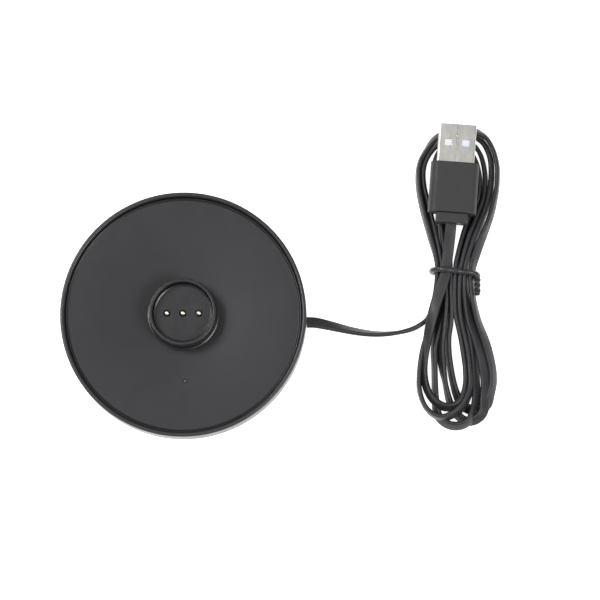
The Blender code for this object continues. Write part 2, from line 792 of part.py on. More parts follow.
def cable_gland():
    """A flat sleeve in the wall's slot, with a flange inside the wall."""
    low = EXIT_Z - GLAND_HALF_HEIGHT
    high = EXIT_Z + GLAND_HALF_HEIGHT
    obj = rounded_box(
        "cable_gland",
        (GLAND_INNER_X, EXIT_Y - GLAND_HALF_WIDTH, low),
        (GLAND_FACE_X, EXIT_Y + GLAND_HALF_WIDTH, high),
        GLAND_EDGE_ROUND,
        axis=0,
    )
    thickness, half_width = GLAND_FLANGE
    flange = box(
        "gland_flange",
        (GLAND_INNER_X - 0.0002, EXIT_Y - half_width, low + 0.00005),
        (GLAND_INNER_X - 0.0002 + thickness, EXIT_Y + half_width, high - 0.00005),
    )
    reach = CORD_WIDTH / 2 + LEAD_CLEARANCE
    rise = CORD_THICKNESS / 2 + LEAD_CLEARANCE
    way = box("gland_way", (0.0300, EXIT_Y - reach, EXIT_Z - rise), (0.0420, EXIT_Y + reach, EXIT_Z + rise))
    add_part(cut(join(obj, flange), way), "soft_black")


def cable_tail():
    start = LEAD_ROUTE[0][0][0] - GAP
    obj = rounded_box(
        "cable_tail",
        (TAIL_END_X, EXIT_Y - CORD_WIDTH / 2, EXIT_Z - CORD_THICKNESS / 2),
        (start, EXIT_Y + CORD_WIDTH / 2, EXIT_Z + CORD_THICKNESS / 2),
        CORD_EDGE_ROUND,
        axis=0,
    )
    add_part(obj, "soft_black")


def cable_clamp():
    """A saddle over the lead, screwed to the base cover on each side of it."""
    obj = rounded_box(
        "cable_clamp",
        (CLAMP_X - CLAMP_HALF_WIDTH, EXIT_Y - CLAMP_HALF_LENGTH, COVER_TOP + GAP),
        (CLAMP_X + CLAMP_HALF_WIDTH, EXIT_Y + CLAMP_HALF_LENGTH, CLAMP_TOP),
        0.0008,
        axis=2,
    )
    reach = CORD_WIDTH / 2 + 2 * LEAD_CLEARANCE
    way_top = EXIT_Z + CORD_THICKNESS / 2 + GLAND_CLEARANCE
    low = (CLAMP_X - 0.003, EXIT_Y - reach, 0.002)
    high = (CLAMP_X + 0.003, EXIT_Y + reach, way_top)
    cut(obj, box("clamp_way", low, high))
    for i, side in enumerate((1, -1)):
        place = clamp_screw_place(side)
        cut(obj, cylinder(f"clamp_hole_{i}", BOARD_HOLE_RADIUS, 0.002, 0.006, place, steps=12))
    add_part(obj, "matte_black")


def wires():
    """Three wires from the lead's cut end up to a row of pads on the circuit board."""
    for name, offset, pad_y in (
        ("wire_red", 0.0011, -0.0118),
        ("wire_white", 0.0, -0.0136),
        ("wire_black", -0.0011, -0.0154),
    ):
        bend_y = 1.3 * offset - 0.0060
        route = (
            (TAIL_END_X - WIRE_TAKE_OFF, EXIT_Y + offset, EXIT_Z),
            (0.0235, EXIT_Y + 1.2 * offset, EXIT_Z + 0.0001),
            (0.0190, bend_y, 0.0047),
            (0.0145, 0.45 * bend_y + 0.55 * pad_y, 0.0057),
            (0.0105, pad_y, 0.0059),
            (0.0070, pad_y, 0.0059),
        )
        obj = tube(name, smooth_route(route, 3), WIRE_RADIUS)
        add_part(mesh_from_curve(obj), name)


# ---------------------------------------------------------------- lead, hank and tie


def free_lead():
    places = smooth_route([place for place, _ in LEAD_ROUTE], LEAD_STEPS)
    turns = smooth_route([(math.radians(turn), 0, 0) for _, turn in LEAD_ROUTE], LEAD_STEPS)
    add_part(flat_lead("cord_lead", places, [turn.x for turn in turns]), "soft_black")


def hank():
    """One solid of the bundle's outer shape, narrow where the tie holds it."""
    outline = [(HANK_MIDDLE_X + x, y, 0.0) for x, y in HANK_RIGHT + HANK_LEFT]
    obj = poly_curve("cord_hank", smooth_route(outline, HANK_STEPS, closed=True), closed=True)
    obj.data.dimensions = "2D"
    obj.data.fill_mode = "BOTH"
    obj.data.extrude = HANK_TOP / 2
    obj.location = (0.0, 0.0, HANK_TOP / 2)
    solid = mesh_from_curve(obj)
    groove = box(
        "tie_groove",
        (TIE_LEFT - 0.005, TIE_Y - TIE_RADIUS - GAP, -0.001),
        (TIE_RIGHT + 0.005, TIE_Y + TIE_RADIUS + GAP, TIE_GROOVE),
    )
    add_part(cut(solid, groove), "soft_black")


def plug_lead():
    route = smooth_route(PLUG_LEAD_ROUTE, 3)
    add_part(flat_lead("cord_plug_lead", route, [0.0] * len(route)), "soft_black")


def twist_tie():
    """A wire loop round the waist, and its twisted ends beside it."""
    corners = (
        (TIE_RIGHT - TIE_CORNER, TIE_TOP - TIE_CORNER, 0),
        (TIE_LEFT + TIE_CORNER, TIE_TOP - TIE_CORNER, 90),
        (TIE_LEFT + TIE_CORNER, TIE_RADIUS + TIE_CORNER, 180),
        (TIE_RIGHT - TIE_CORNER, TIE_RADIUS + TIE_CORNER, 270),
    )
    points = []
    for x, z, start in corners:
        for step in range(5):
            angle = math.radians(start + 22.5 * step)
            points.append((x + TIE_CORNER * math.cos(angle), TIE_Y, z + TIE_CORNER * math.sin(angle)))
    loop = mesh_from_curve(tube("twist_tie", points, TIE_RADIUS, closed=True))
    tail_points = [
        (TIE_RIGHT, TIE_Y + 0.0002, 0.0040),
        (TIE_RIGHT + 0.0003, TIE_Y - 0.0012, 0.0038),
        (TIE_RIGHT + 0.0003, TIE_Y - 0.5 * TIE_TAIL_LENGTH, 0.0034),
        (TIE_RIGHT + 0.0002, TIE_Y - TIE_TAIL_LENGTH - 0.0012, 0.0030),
    ]
    tail = mesh_from_curve(tube("tie_tail", smooth_route(tail_points, 3), TIE_TAIL_RADIUS))
    add_part(join(loop, tail), "gloss_black")


# ---------------------------------------------------------------- USB plug


def usb_frame():
    empty = bpy.data.objects.new("usb_plug", None)
    empty.location = PLUG_AT
    empty.rotation_euler = (0.0, 0.0, PLUG_TURN)
    DOCK.objects.link(empty)
    bpy.context.view_layer.update()
    return empty


def cut_in_frame(obj, frame, *cutters):
    for cutter in cutters:
        cutter.parent = frame
    return cut(obj, *cutters)


def usb_shell(frame):
    half_width = SHELL_WIDTH / 2
    half_height = SHELL_HEIGHT / 2
    obj = rounded_box(
        "usb_shell",
        (-half_width, -SHELL_SEATED, -half_height),
        (half_width, SHELL_LENGTH, half_height),
        SHELL_CORNER,
        axis=1,
    )
    hollow = rounded_box(
        "shell_hollow",
        (-half_width + SHELL_WALL, -0.006, -half_height + SHELL_WALL),
        (half_width - SHELL_WALL, 0.014, half_height - SHELL_WALL),
        SHELL_CORNER - SHELL_WALL,
        axis=1,
    )
    cut_in_frame(obj, frame, hollow)
    middle = SHELL_LENGTH - WINDOW_FROM_TIP
    for i, x in enumerate((-WINDOW_OFFSET, WINDOW_OFFSET)):
        window = box(
            f"shell_window_{i}",
            (x - WINDOW_WIDTH / 2, middle - WINDOW_LENGTH / 2, -0.004),
            (x + WINDOW_WIDTH / 2, middle + WINDOW_LENGTH / 2, 0.004),
        )
        cut_in_frame(obj, frame, window)
    obj.parent = frame
    add_part(obj, "nickel")


def usb_insulator(frame):
    half = TONGUE_WIDTH / 2
    low = (-half, -SHELL_SEATED, TONGUE_LOW)
    high = (half, SHELL_LENGTH - TONGUE_SETBACK, TONGUE_HIGH)
    add_part(box("usb_insulator", low, high), "white_plastic", frame)


def usb_contacts(frame):
    high = TONGUE_LOW - 0.0001
    for i, (x, tip) in enumerate(zip(CONTACT_PLACES, CONTACT_TIPS)):
        obj = box(
            f"usb_contact_{i + 1}",
            (x - CONTACT_WIDTH / 2, CONTACT_REAR, high - CONTACT_THICKNESS),
            (x + CONTACT_WIDTH / 2, tip, high),
        )
        add_part(obj, "gilt", frame)


def usb_overmould(frame):
    half_width = OVERMOULD_WIDTH / 2
    half_height = OVERMOULD_HEIGHT / 2
    obj = rounded_box(
        "usb_overmould",
        (-half_width, -OVERMOULD_LENGTH, -half_height),
        (half_width, 0.0, half_height),
        OVERMOULD_ROUND,
        axis=1,
        segments=8,
    )
    reach = SHELL_WIDTH / 2 + SHELL_CLEARANCE
    rise = SHELL_HEIGHT / 2 + SHELL_CLEARANCE
    seat = box("shell_seat", (-reach, -SHELL_SEATED - GAP, -rise), (reach, 0.002, rise))
    width, height, depth = RELIEF_TONGUE
    rear = -OVERMOULD_LENGTH
    socket = box(
        "relief_socket",
        (-width / 2 - GAP, rear - 0.002, -height / 2 - GAP),
        (width / 2 + GAP, rear + depth + GAP, height / 2 + GAP),
    )
    cut_in_frame(obj, frame, seat, socket)
    obj.parent = frame
    add_part(obj, "matte_black")


def usb_strain_relief(frame):
    rear = -OVERMOULD_LENGTH - GAP
    obj = rounded_box(
        "usb_strain_relief",
        (-RELIEF_WIDTH / 2, rear - RELIEF_LENGTH, -RELIEF_HEIGHT / 2),
        (RELIEF_WIDTH / 2, rear, RELIEF_HEIGHT / 2),
        RELIEF_ROUND,
        axis=1,
    )
    width, height, depth = RELIEF_TONGUE
    tongue = box(
        "relief_tongue",
        (-width / 2, rear - 0.001, -height / 2),
        (width / 2, rear + depth, height / 2),
    )
    tongue.parent = frame
    join(obj, tongue)
    obj.parent = frame
    add_part(obj, "matte_black")


# ---------------------------------------------------------------- the whole object


def build_dock():
    housing()
    top_plate()
    docking_collar()
    contact_carrier()
    magnets()
    spring_pins()
    circuit_board()
    indicator()
    ballast_plate()
    base_cover()
    foot_ring()
    screws()


def build_lead():
    cable_gland()
    cable_tail()
    cable_clamp()
    wires()
    free_lead()
    hank()
    plug_lead()
    twist_tie()


def build_plug():
    frame = usb_frame()
    usb_shell(frame)
    usb_insulator(frame)
    usb_contacts(frame)
    usb_overmould(frame)
    usb_strain_relief(frame)


build_dock()
build_lead()
build_plug()
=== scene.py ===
"""Looks of the watch charging dock: its mouldings, contacts, flat USB lead, twist tie and plug.

Everything is in metres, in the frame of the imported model: +Z up, the dock's centre at the origin.
"""

import math

import bmesh
import bpy
from mathutils import Matrix, Vector


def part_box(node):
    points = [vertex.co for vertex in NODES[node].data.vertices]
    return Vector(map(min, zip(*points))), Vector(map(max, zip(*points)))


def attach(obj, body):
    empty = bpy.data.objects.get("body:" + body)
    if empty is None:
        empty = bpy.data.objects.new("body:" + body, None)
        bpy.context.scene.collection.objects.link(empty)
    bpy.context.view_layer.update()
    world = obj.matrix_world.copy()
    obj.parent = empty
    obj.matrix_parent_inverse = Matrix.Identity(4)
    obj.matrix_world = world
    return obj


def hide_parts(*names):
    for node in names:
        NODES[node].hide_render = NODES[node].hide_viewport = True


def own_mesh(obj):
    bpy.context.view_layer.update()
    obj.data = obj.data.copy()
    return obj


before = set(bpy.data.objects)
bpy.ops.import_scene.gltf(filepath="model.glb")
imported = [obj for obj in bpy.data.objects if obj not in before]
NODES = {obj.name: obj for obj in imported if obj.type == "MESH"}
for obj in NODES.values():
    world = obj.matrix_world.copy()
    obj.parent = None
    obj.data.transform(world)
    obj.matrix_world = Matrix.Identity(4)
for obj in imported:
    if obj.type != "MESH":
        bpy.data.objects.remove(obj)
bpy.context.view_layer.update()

MM = 0.001
CUT_PAST = 0.001  # how far a cutter reaches past what it cuts


# ---------------- shape helpers

MERGE_WITHIN = 0.0000005
SHORTEST_EDGE = 0.0000002


def link(obj):
    bpy.context.scene.collection.objects.link(obj)
    return obj


def object_from_bmesh(name, shape):
    bmesh.ops.recalc_face_normals(shape, faces=shape.faces)
    mesh = bpy.data.meshes.new(name)
    shape.to_mesh(mesh)
    shape.free()
    return link(bpy.data.objects.new(name, mesh))


def fillet(corners, segments=5):
    """A profile from (radius, height, rounding) corners, with an arc of that rounding at each one."""
    count = len(corners)
    found = []
    for i, (r, z, rounding) in enumerate(corners):
        here = Vector((r, z))
        if rounding <= 0:
            found.append(here)
            continue
        back = (Vector(corners[i - 1][:2]) - here).normalized()
        ahead = (Vector(corners[(i + 1) % count][:2]) - here).normalized()
        half = back.angle(ahead) / 2
        reach = rounding / math.tan(half)
        centre = here + (back + ahead).normalized() * rounding / math.sin(half)
        start, end = here + back * reach - centre, here + ahead * reach - centre
        sweep = start.angle_signed(end)
        for step in range(segments + 1):
            turn = Matrix.Rotation(-sweep * step / segments, 2)
            found.append(centre + turn @ start)
    return found


def turned(name, corners, steps=192, closed=False, at=(0.0, 0.0), segments=5):
    """A filleted profile turned about Z. An open profile starts and ends on the axis."""
    profile = fillet(corners, segments)
    shape = bmesh.new()
    rings = []
    for step in range(steps):
        angle = 2 * math.pi * step / steps
        cos, sin = math.cos(angle), math.sin(angle)
        rings.append([shape.verts.new((at[0] + p.x * cos, at[1] + p.x * sin, p.y)) for p in profile])
    pairs = len(profile) if closed else len(profile) - 1
    for step in range(steps):
        here, there = rings[step], rings[(step + 1) % steps]
        for i in range(pairs):
            j = (i + 1) % len(profile)
            shape.faces.new((here[i], here[j], there[j], there[i]))
    bmesh.ops.remove_doubles(shape, verts=shape.verts, dist=MERGE_WITHIN)
    bmesh.ops.dissolve_degenerate(shape, edges=shape.edges, dist=SHORTEST_EDGE)
    return smooth(object_from_bmesh(name, shape))


def block(name, low, high, rounding=0.0, axis=None, segments=5, edge=0.0):
    """A box with the four edges along an axis rounded, and a small rounding on its other edges."""
    low, high = Vector(low), Vector(high)
    shape = bmesh.new()
    bmesh.ops.create_cube(shape, size=1.0)
    bmesh.ops.scale(shape, vec=high - low, verts=shape.verts)
    bmesh.ops.translate(shape, vec=(low + high) / 2, verts=shape.verts)
    if rounding:
        along = [e for e in shape.edges if abs((e.verts[0].co - e.verts[1].co).normalized()[axis]) > 0.9]
        bmesh.ops.bevel(shape, geom=along, offset=rounding, segments=segments, profile=0.5, affect="EDGES")
    if edge:
        ends = [e for e in shape.edges if e.calc_face_angle(0) > math.radians(50)]
        bmesh.ops.bevel(shape, geom=ends, offset=edge, segments=3, profile=0.5, affect="EDGES")
    return object_from_bmesh(name, shape)


def cylinder(name, radius, low_z, high_z, at, steps=48):
    corners = [(0, low_z, 0), (radius, low_z, 0), (radius, high_z, 0), (0, high_z, 0)]
    return turned(name, corners, steps, at=at)


def smooth(obj, angle=35):
    obj.data.shade_smooth()
    obj.data.set_sharp_from_angle(angle=math.radians(angle))
    return obj


def combine(obj, others, operation):
    """Cuts the others out of obj, or joins them to it, and removes them."""
    for other in others:
        boolean = obj.modifiers.new("boolean", "BOOLEAN")
        boolean.operation = operation
        boolean.solver = "EXACT"
        boolean.object = other
    bake(obj)
    for other in others:
        bpy.data.objects.remove(other, do_unlink=True)
    return obj


def bake(obj):
    """Applies obj's modifiers."""
    bpy.context.view_layer.update()
    graph = bpy.context.evaluated_depsgraph_get()
    mesh = bpy.data.meshes.new_from_object(obj.evaluated_get(graph))
    obj.modifiers.clear()
    old = obj.data
    obj.data = mesh
    mesh.name = obj.name
    if old.users == 0:
        bpy.data.meshes.remove(old)


def soften_edges(obj, width, angle=40, segments=2):
    """Rounds the sharp edges, and keeps the flat faces shaded flat."""
    obj.data.shade_smooth()
    bevel = obj.modifiers.new("edges", "BEVEL")
    bevel.width = width
    bevel.segments = segments
    bevel.limit_method = "ANGLE"
    bevel.angle_limit = math.radians(angle)
    bevel.use_clamp_overlap = True
    weighted = obj.modifiers.new("normals", "WEIGHTED_NORMAL")
    weighted.keep_sharp = True
    bake(obj)


def eased(a, b, c, d, t):
    """The smooth curve's value at share t of the way from b to c, with a before them and d after."""
    return 0.5 * (
        2 * b + (c - a) * t + (2 * a - 5 * b + 4 * c - d) * t**2 + (3 * b - a - 3 * c + d) * t**3
    )


def spline(points, closed=False, spacing=0.001):
    """Points about one spacing apart on a smooth curve through the given ones.

    A point may carry more numbers after its place, which change as smoothly.
    """
    count = len(points)
    rows = [list(map(float, p)) for p in points]
    found = []
    for i in range(count if closed else count - 1):
        if closed:
            around = [rows[(i + k - 1) % count] for k in range(4)]
        else:
            around = [rows[min(max(i + k - 1, 0), count - 1)] for k in range(4)]
        steps = max(2, round(math.dist(around[1][:3], around[2][:3]) / spacing))
        for step in range(steps):
            found.append([eased(*values, step / steps) for values in zip(*around)])
    if not closed:
        found.append(rows[-1])
    return found


def swept(name, places, section, closed=False, turns=None):
    """A section swept along places. Its first direction is level, then turned about the path by turns."""
    shape = bmesh.new()
    count = len(places)
    rings = []
    for i, place in enumerate(places):
        here = Vector(place)
        ahead = Vector(places[(i + 1) % count] if closed else places[min(i + 1, count - 1)])
        behind = Vector(places[i - 1] if closed else places[max(i - 1, 0)])
        along = (ahead - behind).normalized()
        side = along.cross(Vector((0, 0, 1)))
        side = side.normalized() if side.length > 0.05 else Vector((0, 1, 0))
        up = side.cross(along).normalized()
        turn = turns[i] if turns else 0.0
        across = side * math.cos(turn) + up * math.sin(turn)
        over = up * math.cos(turn) - side * math.sin(turn)
        rings.append([shape.verts.new(here + across * u + over * v) for u, v in section])
    sides = len(section)
    for i in range(count if closed else count - 1):
        here, there = rings[i], rings[(i + 1) % count]
        for j in range(sides):
            k = (j + 1) % sides
            shape.faces.new((here[j], here[k], there[k], there[j]))
    if not closed:
        shape.faces.new(rings[0])
        shape.faces.new(rings[-1])
    return smooth(object_from_bmesh(name, shape), 50)


def circle(radius, sides=16):
    return [
        (radius * math.cos(2 * math.pi * k / sides), radius * math.sin(2 * math.pi * k / sides))
        for k in range(sides)
    ]


# ---------------- materials

NOISE_SPAN = (0.3, 0.7)  # where nearly all of a noise's values lie


class Look:
    """Builds one procedural material, with textures placed by the object's own coordinates."""

    def __init__(self, name, colour, roughness, metallic):
        self.material = bpy.data.materials.new(name)
        self.material.use_nodes = True
        self.tree = self.material.node_tree
        self.shader = self.tree.nodes["Principled BSDF"]
        self.coords = self.tree.nodes.new("ShaderNodeTexCoord").outputs["Object"]
        self.colour = colour
        self.roughness = roughness
        self.shader.inputs["Metallic"].default_value = metallic
        self.shader.inputs["Base Color"].default_value = (*colour, 1)
        self.shader.inputs["Roughness"].default_value = roughness

    def mapped(self, stretch):
        mapping = self.tree.nodes.new("ShaderNodeMapping")
        mapping.inputs["Scale"].default_value = stretch
        self.tree.links.new(self.coords, mapping.inputs["Vector"])
        return mapping.outputs["Vector"]

    def noise(self, size, detail=4, rough=0.55, stretch=None):
        """Noise whose blobs are about size across, in metres."""
        node = self.tree.nodes.new("ShaderNodeTexNoise")
        node.inputs["Scale"].default_value = 1.0 / size
        node.inputs["Detail"].default_value = detail
        node.inputs["Roughness"].default_value = rough
        self.tree.links.new(self.mapped(stretch) if stretch else self.coords, node.inputs["Vector"])
        return node.outputs["Fac"]

    def ranged(self, source, low, high):
        node = self.tree.nodes.new("ShaderNodeMapRange")
        node.inputs["From Min"].default_value = NOISE_SPAN[0]
        node.inputs["From Max"].default_value = NOISE_SPAN[1]
        node.inputs["To Min"].default_value = low
        node.inputs["To Max"].default_value = high
        self.tree.links.new(source, node.inputs["Value"])
        return node.outputs["Result"]

    def mottle(self, darker, lighter, **noise):
        """Varies the colour between a darker and a lighter share of itself."""
        mix = self.tree.nodes.new("ShaderNodeMix")
        mix.data_type = "RGBA"
        mix.inputs["A"].default_value = (*(c * darker for c in self.colour), 1)
        mix.inputs["B"].default_value = (*(min(1.0, c * lighter) for c in self.colour), 1)
        self.tree.links.new(self.ranged(self.noise(**noise), 0.0, 1.0), mix.inputs["Factor"])
        self.tree.links.new(mix.outputs["Result"], self.shader.inputs["Base Color"])

    def smudge(self, swing, **noise):
        """Varies the roughness by swing either way."""
        out = self.ranged(self.noise(**noise), self.roughness - swing, self.roughness + swing)
        self.tree.links.new(out, self.shader.inputs["Roughness"])

    def grain(self, height, strength, **noise):
        """Raises a grain of this height, in metres."""
        node = self.tree.nodes.new("ShaderNodeBump")
        node.inputs["Strength"].default_value = strength
        node.inputs["Distance"].default_value = height
        self.tree.links.new(self.noise(**noise), node.inputs["Height"])
        self.tree.links.new(node.outputs["Normal"], self.shader.inputs["Normal"])


def made_look(name, colour, roughness, metallic=0.0, mottle=None, smudge=None, grain=None, specular=None):
    look = Look(name, colour, roughness, metallic)
    if mottle:
        look.mottle(**mottle)
    if smudge:
        look.smudge(**smudge)
    if grain:
        look.grain(**grain)
    if specular is not None:
        look.shader.inputs["Specular IOR Level"].default_value = specular
    return look.material


METAL = dict(
    metallic=1.0,
    mottle=dict(size=0.002, darker=0.90, lighter=1.08),
    smudge=dict(size=0.001, swing=0.06),
    grain=dict(size=0.0003, detail=3, height=0.000006, strength=0.5),
)
PLAIN_PLASTIC = dict(
    mottle=dict(size=0.002, detail=3, darker=0.94, lighter=1.04),
    smudge=dict(size=0.001, detail=3, swing=0.05),
    grain=dict(size=0.0003, detail=2, height=0.000006, strength=0.4),
)

LOOKS = {
    "housing": made_look(
        "housing_black", (0.028, 0.028, 0.030), 0.33,
        mottle=dict(size=0.012, darker=0.93, lighter=1.07),
        smudge=dict(size=0.005, detail=5, swing=0.04),
        grain=dict(size=0.0004, detail=2, rough=0.6, height=0.000008, strength=0.4),
    ),
    "plate": made_look(
        "plate_black", (0.0165, 0.0162, 0.0195), 0.37,
        mottle=dict(size=0.020, darker=0.94, lighter=1.06),
        smudge=dict(size=0.006, swing=0.04),
        grain=dict(size=0.00028, detail=2, rough=0.7, height=0.00002, strength=0.55),
    ),
    "collar": made_look(
        "collar_black", (0.0205, 0.0205, 0.0230), 0.29,
        mottle=dict(size=0.008, darker=0.93, lighter=1.07),
        smudge=dict(size=0.004, swing=0.05),
        grain=dict(size=0.00028, detail=2, rough=0.7, height=0.000012, strength=0.5),
    ),
    "cord": made_look(
        "cord_black", (0.0215, 0.0215, 0.0240), 0.47,
        mottle=dict(size=0.006, darker=0.90, lighter=1.10),
        smudge=dict(size=0.002, swing=0.07),
        grain=dict(size=0.0005, detail=3, height=0.000012, strength=0.5),
    ),
    "overmould": made_look(
        "overmould_black", (0.028, 0.028, 0.030), 0.55,
        mottle=dict(size=0.005, darker=0.92, lighter=1.08),
        smudge=dict(size=0.002, swing=0.05),
        grain=dict(size=0.00022, detail=2, rough=0.7, height=0.000016, strength=0.6),
    ),
    "tie": made_look(
        "tie_black", (0.036, 0.036, 0.039), 0.32,
        mottle=dict(size=0.002, detail=3, darker=0.88, lighter=1.12),
        grain=dict(size=0.0006, detail=3, height=0.00002, strength=0.5),
    ),
    "rubber": made_look(
        "foot_rubber", (0.028, 0.028, 0.028), 0.82,
        mottle=dict(size=0.003, darker=0.85, lighter=1.15),
        smudge=dict(size=0.002, swing=0.08),
        grain=dict(size=0.0003, detail=3, height=0.00003, strength=0.6),
    ),
    # Folded steel sheet, plated and finely rolled along the plug
    "nickel": made_look(
        "usb_nickel", (0.61, 0.595, 0.56), 0.36,
        metallic=1.0,
        mottle=dict(size=0.0025, detail=5, rough=0.6, darker=0.90, lighter=1.06),
        smudge=dict(size=0.0008, stretch=(1.0, 0.12, 1.0), swing=0.07),
        grain=dict(size=0.00018, detail=3, stretch=(1.0, 0.08, 1.0), height=0.000004, strength=0.6),
    ),
    "gilt": made_look(
        "gilt", (1.0, 0.92, 0.76), 0.36,
        metallic=1.0,
        mottle=dict(size=0.0006, darker=0.90, lighter=1.06),
        smudge=dict(size=0.0004, detail=3, swing=0.04),
        grain=dict(size=0.0004, detail=2, height=0.000001, strength=0.3),
    ),
    "spring": made_look("spring_steel", (0.60, 0.60, 0.61), 0.28, **METAL),
    "zinc": made_look("zinc_steel", (0.55, 0.56, 0.58), 0.36, **METAL),
    "magnet": made_look("magnet_nickel", (0.74, 0.73, 0.70), 0.22, **METAL),
    # Green solder mask with copper tracks just showing through it
    "board": made_look(
        "circuit_green", (0.02, 0.13, 0.05), 0.35,
        mottle=dict(size=0.0015, detail=0, rough=0.4, darker=0.7, lighter=1.5),
        grain=dict(size=0.0015, detail=0, rough=0.4, height=0.00002, strength=0.5),
    ),
    # Near-black and barely reflective: painted shade for the dark gap round each pin
    "painted_gap_shade": made_look(
        "pin_painted_shade", (0.003, 0.003, 0.003), 0.70, smudge=dict(size=0.001, detail=3, swing=0.05), specular=0.1
    ),
    "tongue": made_look("usb_plastic", (0.80, 0.85, 0.93), 0.38, **PLAIN_PLASTIC),
    "light_pipe": made_look("light_pipe", (0.10, 0.10, 0.105), 0.35, **PLAIN_PLASTIC),
    "led": made_look("led_white", (0.82, 0.83, 0.82), 0.30, **PLAIN_PLASTIC),
    "wire_red": made_look("wire_red", (0.50, 0.03, 0.03), 0.42, **PLAIN_PLASTIC),
    "wire_white": made_look("wire_white", (0.75, 0.75, 0.74), 0.42, **PLAIN_PLASTIC),
    "wire_black": made_look("wire_black", (0.02, 0.02, 0.02), 0.42, **PLAIN_PLASTIC),
}


def dress(obj, look):
    obj.data.materials.clear()
    obj.data.materials.append(LOOKS[look])


def add_piece(obj, look, slot, *nodes, body="dock"):
    """Gives a piece its look and puts it in place of CAD nodes; the slot argument is not used."""
    dress(obj, look)
    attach(obj, body)
    if nodes:
        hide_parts(*nodes)
    return obj


# ---------------- camera

CAMERA_AT = (0.0520, -0.1340, 1.0010)
CAMERA_AIM = (0.0371, 0.0058, 0.0)
LENS_MM = 188.4
SENSOR_MM = 36.0


def make_camera():
    data = bpy.data.cameras.new("camera")
    data.lens = LENS_MM
    data.sensor_width = SENSOR_MM
    data.clip_start = 0.01
    data.clip_end = 20.0
    camera = link(bpy.data.objects.new("camera", data))
    backward = (Vector(CAMERA_AT) - Vector(CAMERA_AIM)).normalized()
    right = Vector((0, 1, 0)).cross(backward).normalized()
    axes = Matrix((right, backward.cross(right), backward)).transposed()
    camera.matrix_world = Matrix.Translation(CAMERA_AT) @ axes.to_4x4()
    bpy.context.scene.camera = camera


make_camera()


# ---------------- flat lead

CORD_WIDTH = 3.5 * MM
CORD_THICKNESS = 1.4 * MM
CORD_EDGE_ROUND = 0.60 * MM
CORD_REACH = CORD_WIDTH / 2 - CORD_THICKNESS / 2
CORD_EXIT = (0.0390, -0.0020, 0.0037)
CORD_SPACING = 0.0009

# The free lead, as in the CAD: where it passes, and how far it has turned on its side there, in degrees
LEAD_ROUTE = (
    (0.0393, -0.0020, 0.0037, 0),
    (0.0412, -0.0020, 0.0036, 6),
    (0.0430, -0.0022, 0.0034, 14),
    (0.0452, -0.0026, 0.0030, 24),
    (0.0485, -0.0033, 0.0024, 37),
    (0.0520, -0.0041, 0.0019, 48),
    (0.0550, -0.0047, 0.0017, 55),
    (0.0582, -0.0052, 0.0017, 62),
    (0.0614, -0.0055, 0.0018, 68),
    (0.0646, -0.0055, 0.0018, 75),
    (0.0678, -0.0052, 0.0018, 81),
    (0.0710, -0.0046, 0.0018, 87),
    (0.0737, -0.0037, 0.0018, 90),
)

# The five turns of the hank, in millimetres and degrees: x, y, the gap under the lead, and its turn.
# Every turn goes up the left side, over the far end, down the right side and round the near end. Under the
# tie eight strands stand side by side, and two lie flat beneath them.
TURN_1 = (
    (75.8, -2.5, 0.0, 90), (77.8, -0.9, 0.1, 90), (79.1, 1.8, 0.5, 90), (80.1, 5.8, 1.4, 90),
    (80.8, 10.0, 2.4, 90), (81.1, 14.4, 2.9, 90), (80.8, 18.6, 2.8, 90), (78.7, 26.8, 2.1, 80),
    (76.6, 35.3, 1.3, 76), (75.5, 41.5, 0.9, 78), (75.3, 46.7, 0.6, 80), (76.1, 50.8, 0.4, 80),
    (78.1, 54.4, 0.1, 75), (80.8, 57.9, 0.0, 60), (84.5, 59.8, 0.0, 42), (88.8, 60.1, 0.0, 42),
    (93.2, 59.1, 0.0, 55), (96.3, 56.8, 0.1, 68), (98.1, 53.3, 0.3, 72), (98.9, 49.4, 0.5, 72),
    (98.8, 43.8, 0.9, 72), (97.9, 38.0, 1.2, 70), (95.7, 31.6, 1.7, 70), (93.2, 24.8, 2.3, 72),
    (91.0, 18.4, 2.8, 78), (90.2, 14.4, 2.9, 78), (90.2, 7.4, 2.5, 66), (91.5, -0.8, 1.9, 40),
    (93.9, -8.0, 1.4, 26), (95.7, -15.0, 1.2, 16), (96.6, -21.4, 1.2, 24), (96.1, -26.6, 1.4, 30),
    (95.6, -30.8, 1.4, 34), (93.4, -33.1, 0.8, 40), (90.6, -33.7, 0.2, 50), (88.3, -32.5, 0.0, 55),
    (86.3, -30.2, 0.0, 60), (84.9, -27.2, 0.0, 68), (84.1, -24.0, 0.0, 76), (83.5, -20.8, 0.0, 80),
    (82.6, -15.2, 0.3, 56), (82.3, -9.6, 0.7, 58), (83.2, -3.5, 1.5, 78), (84.0, 2.6, 2.2, 88),
    (84.0, 9.2, 2.7, 90),
)
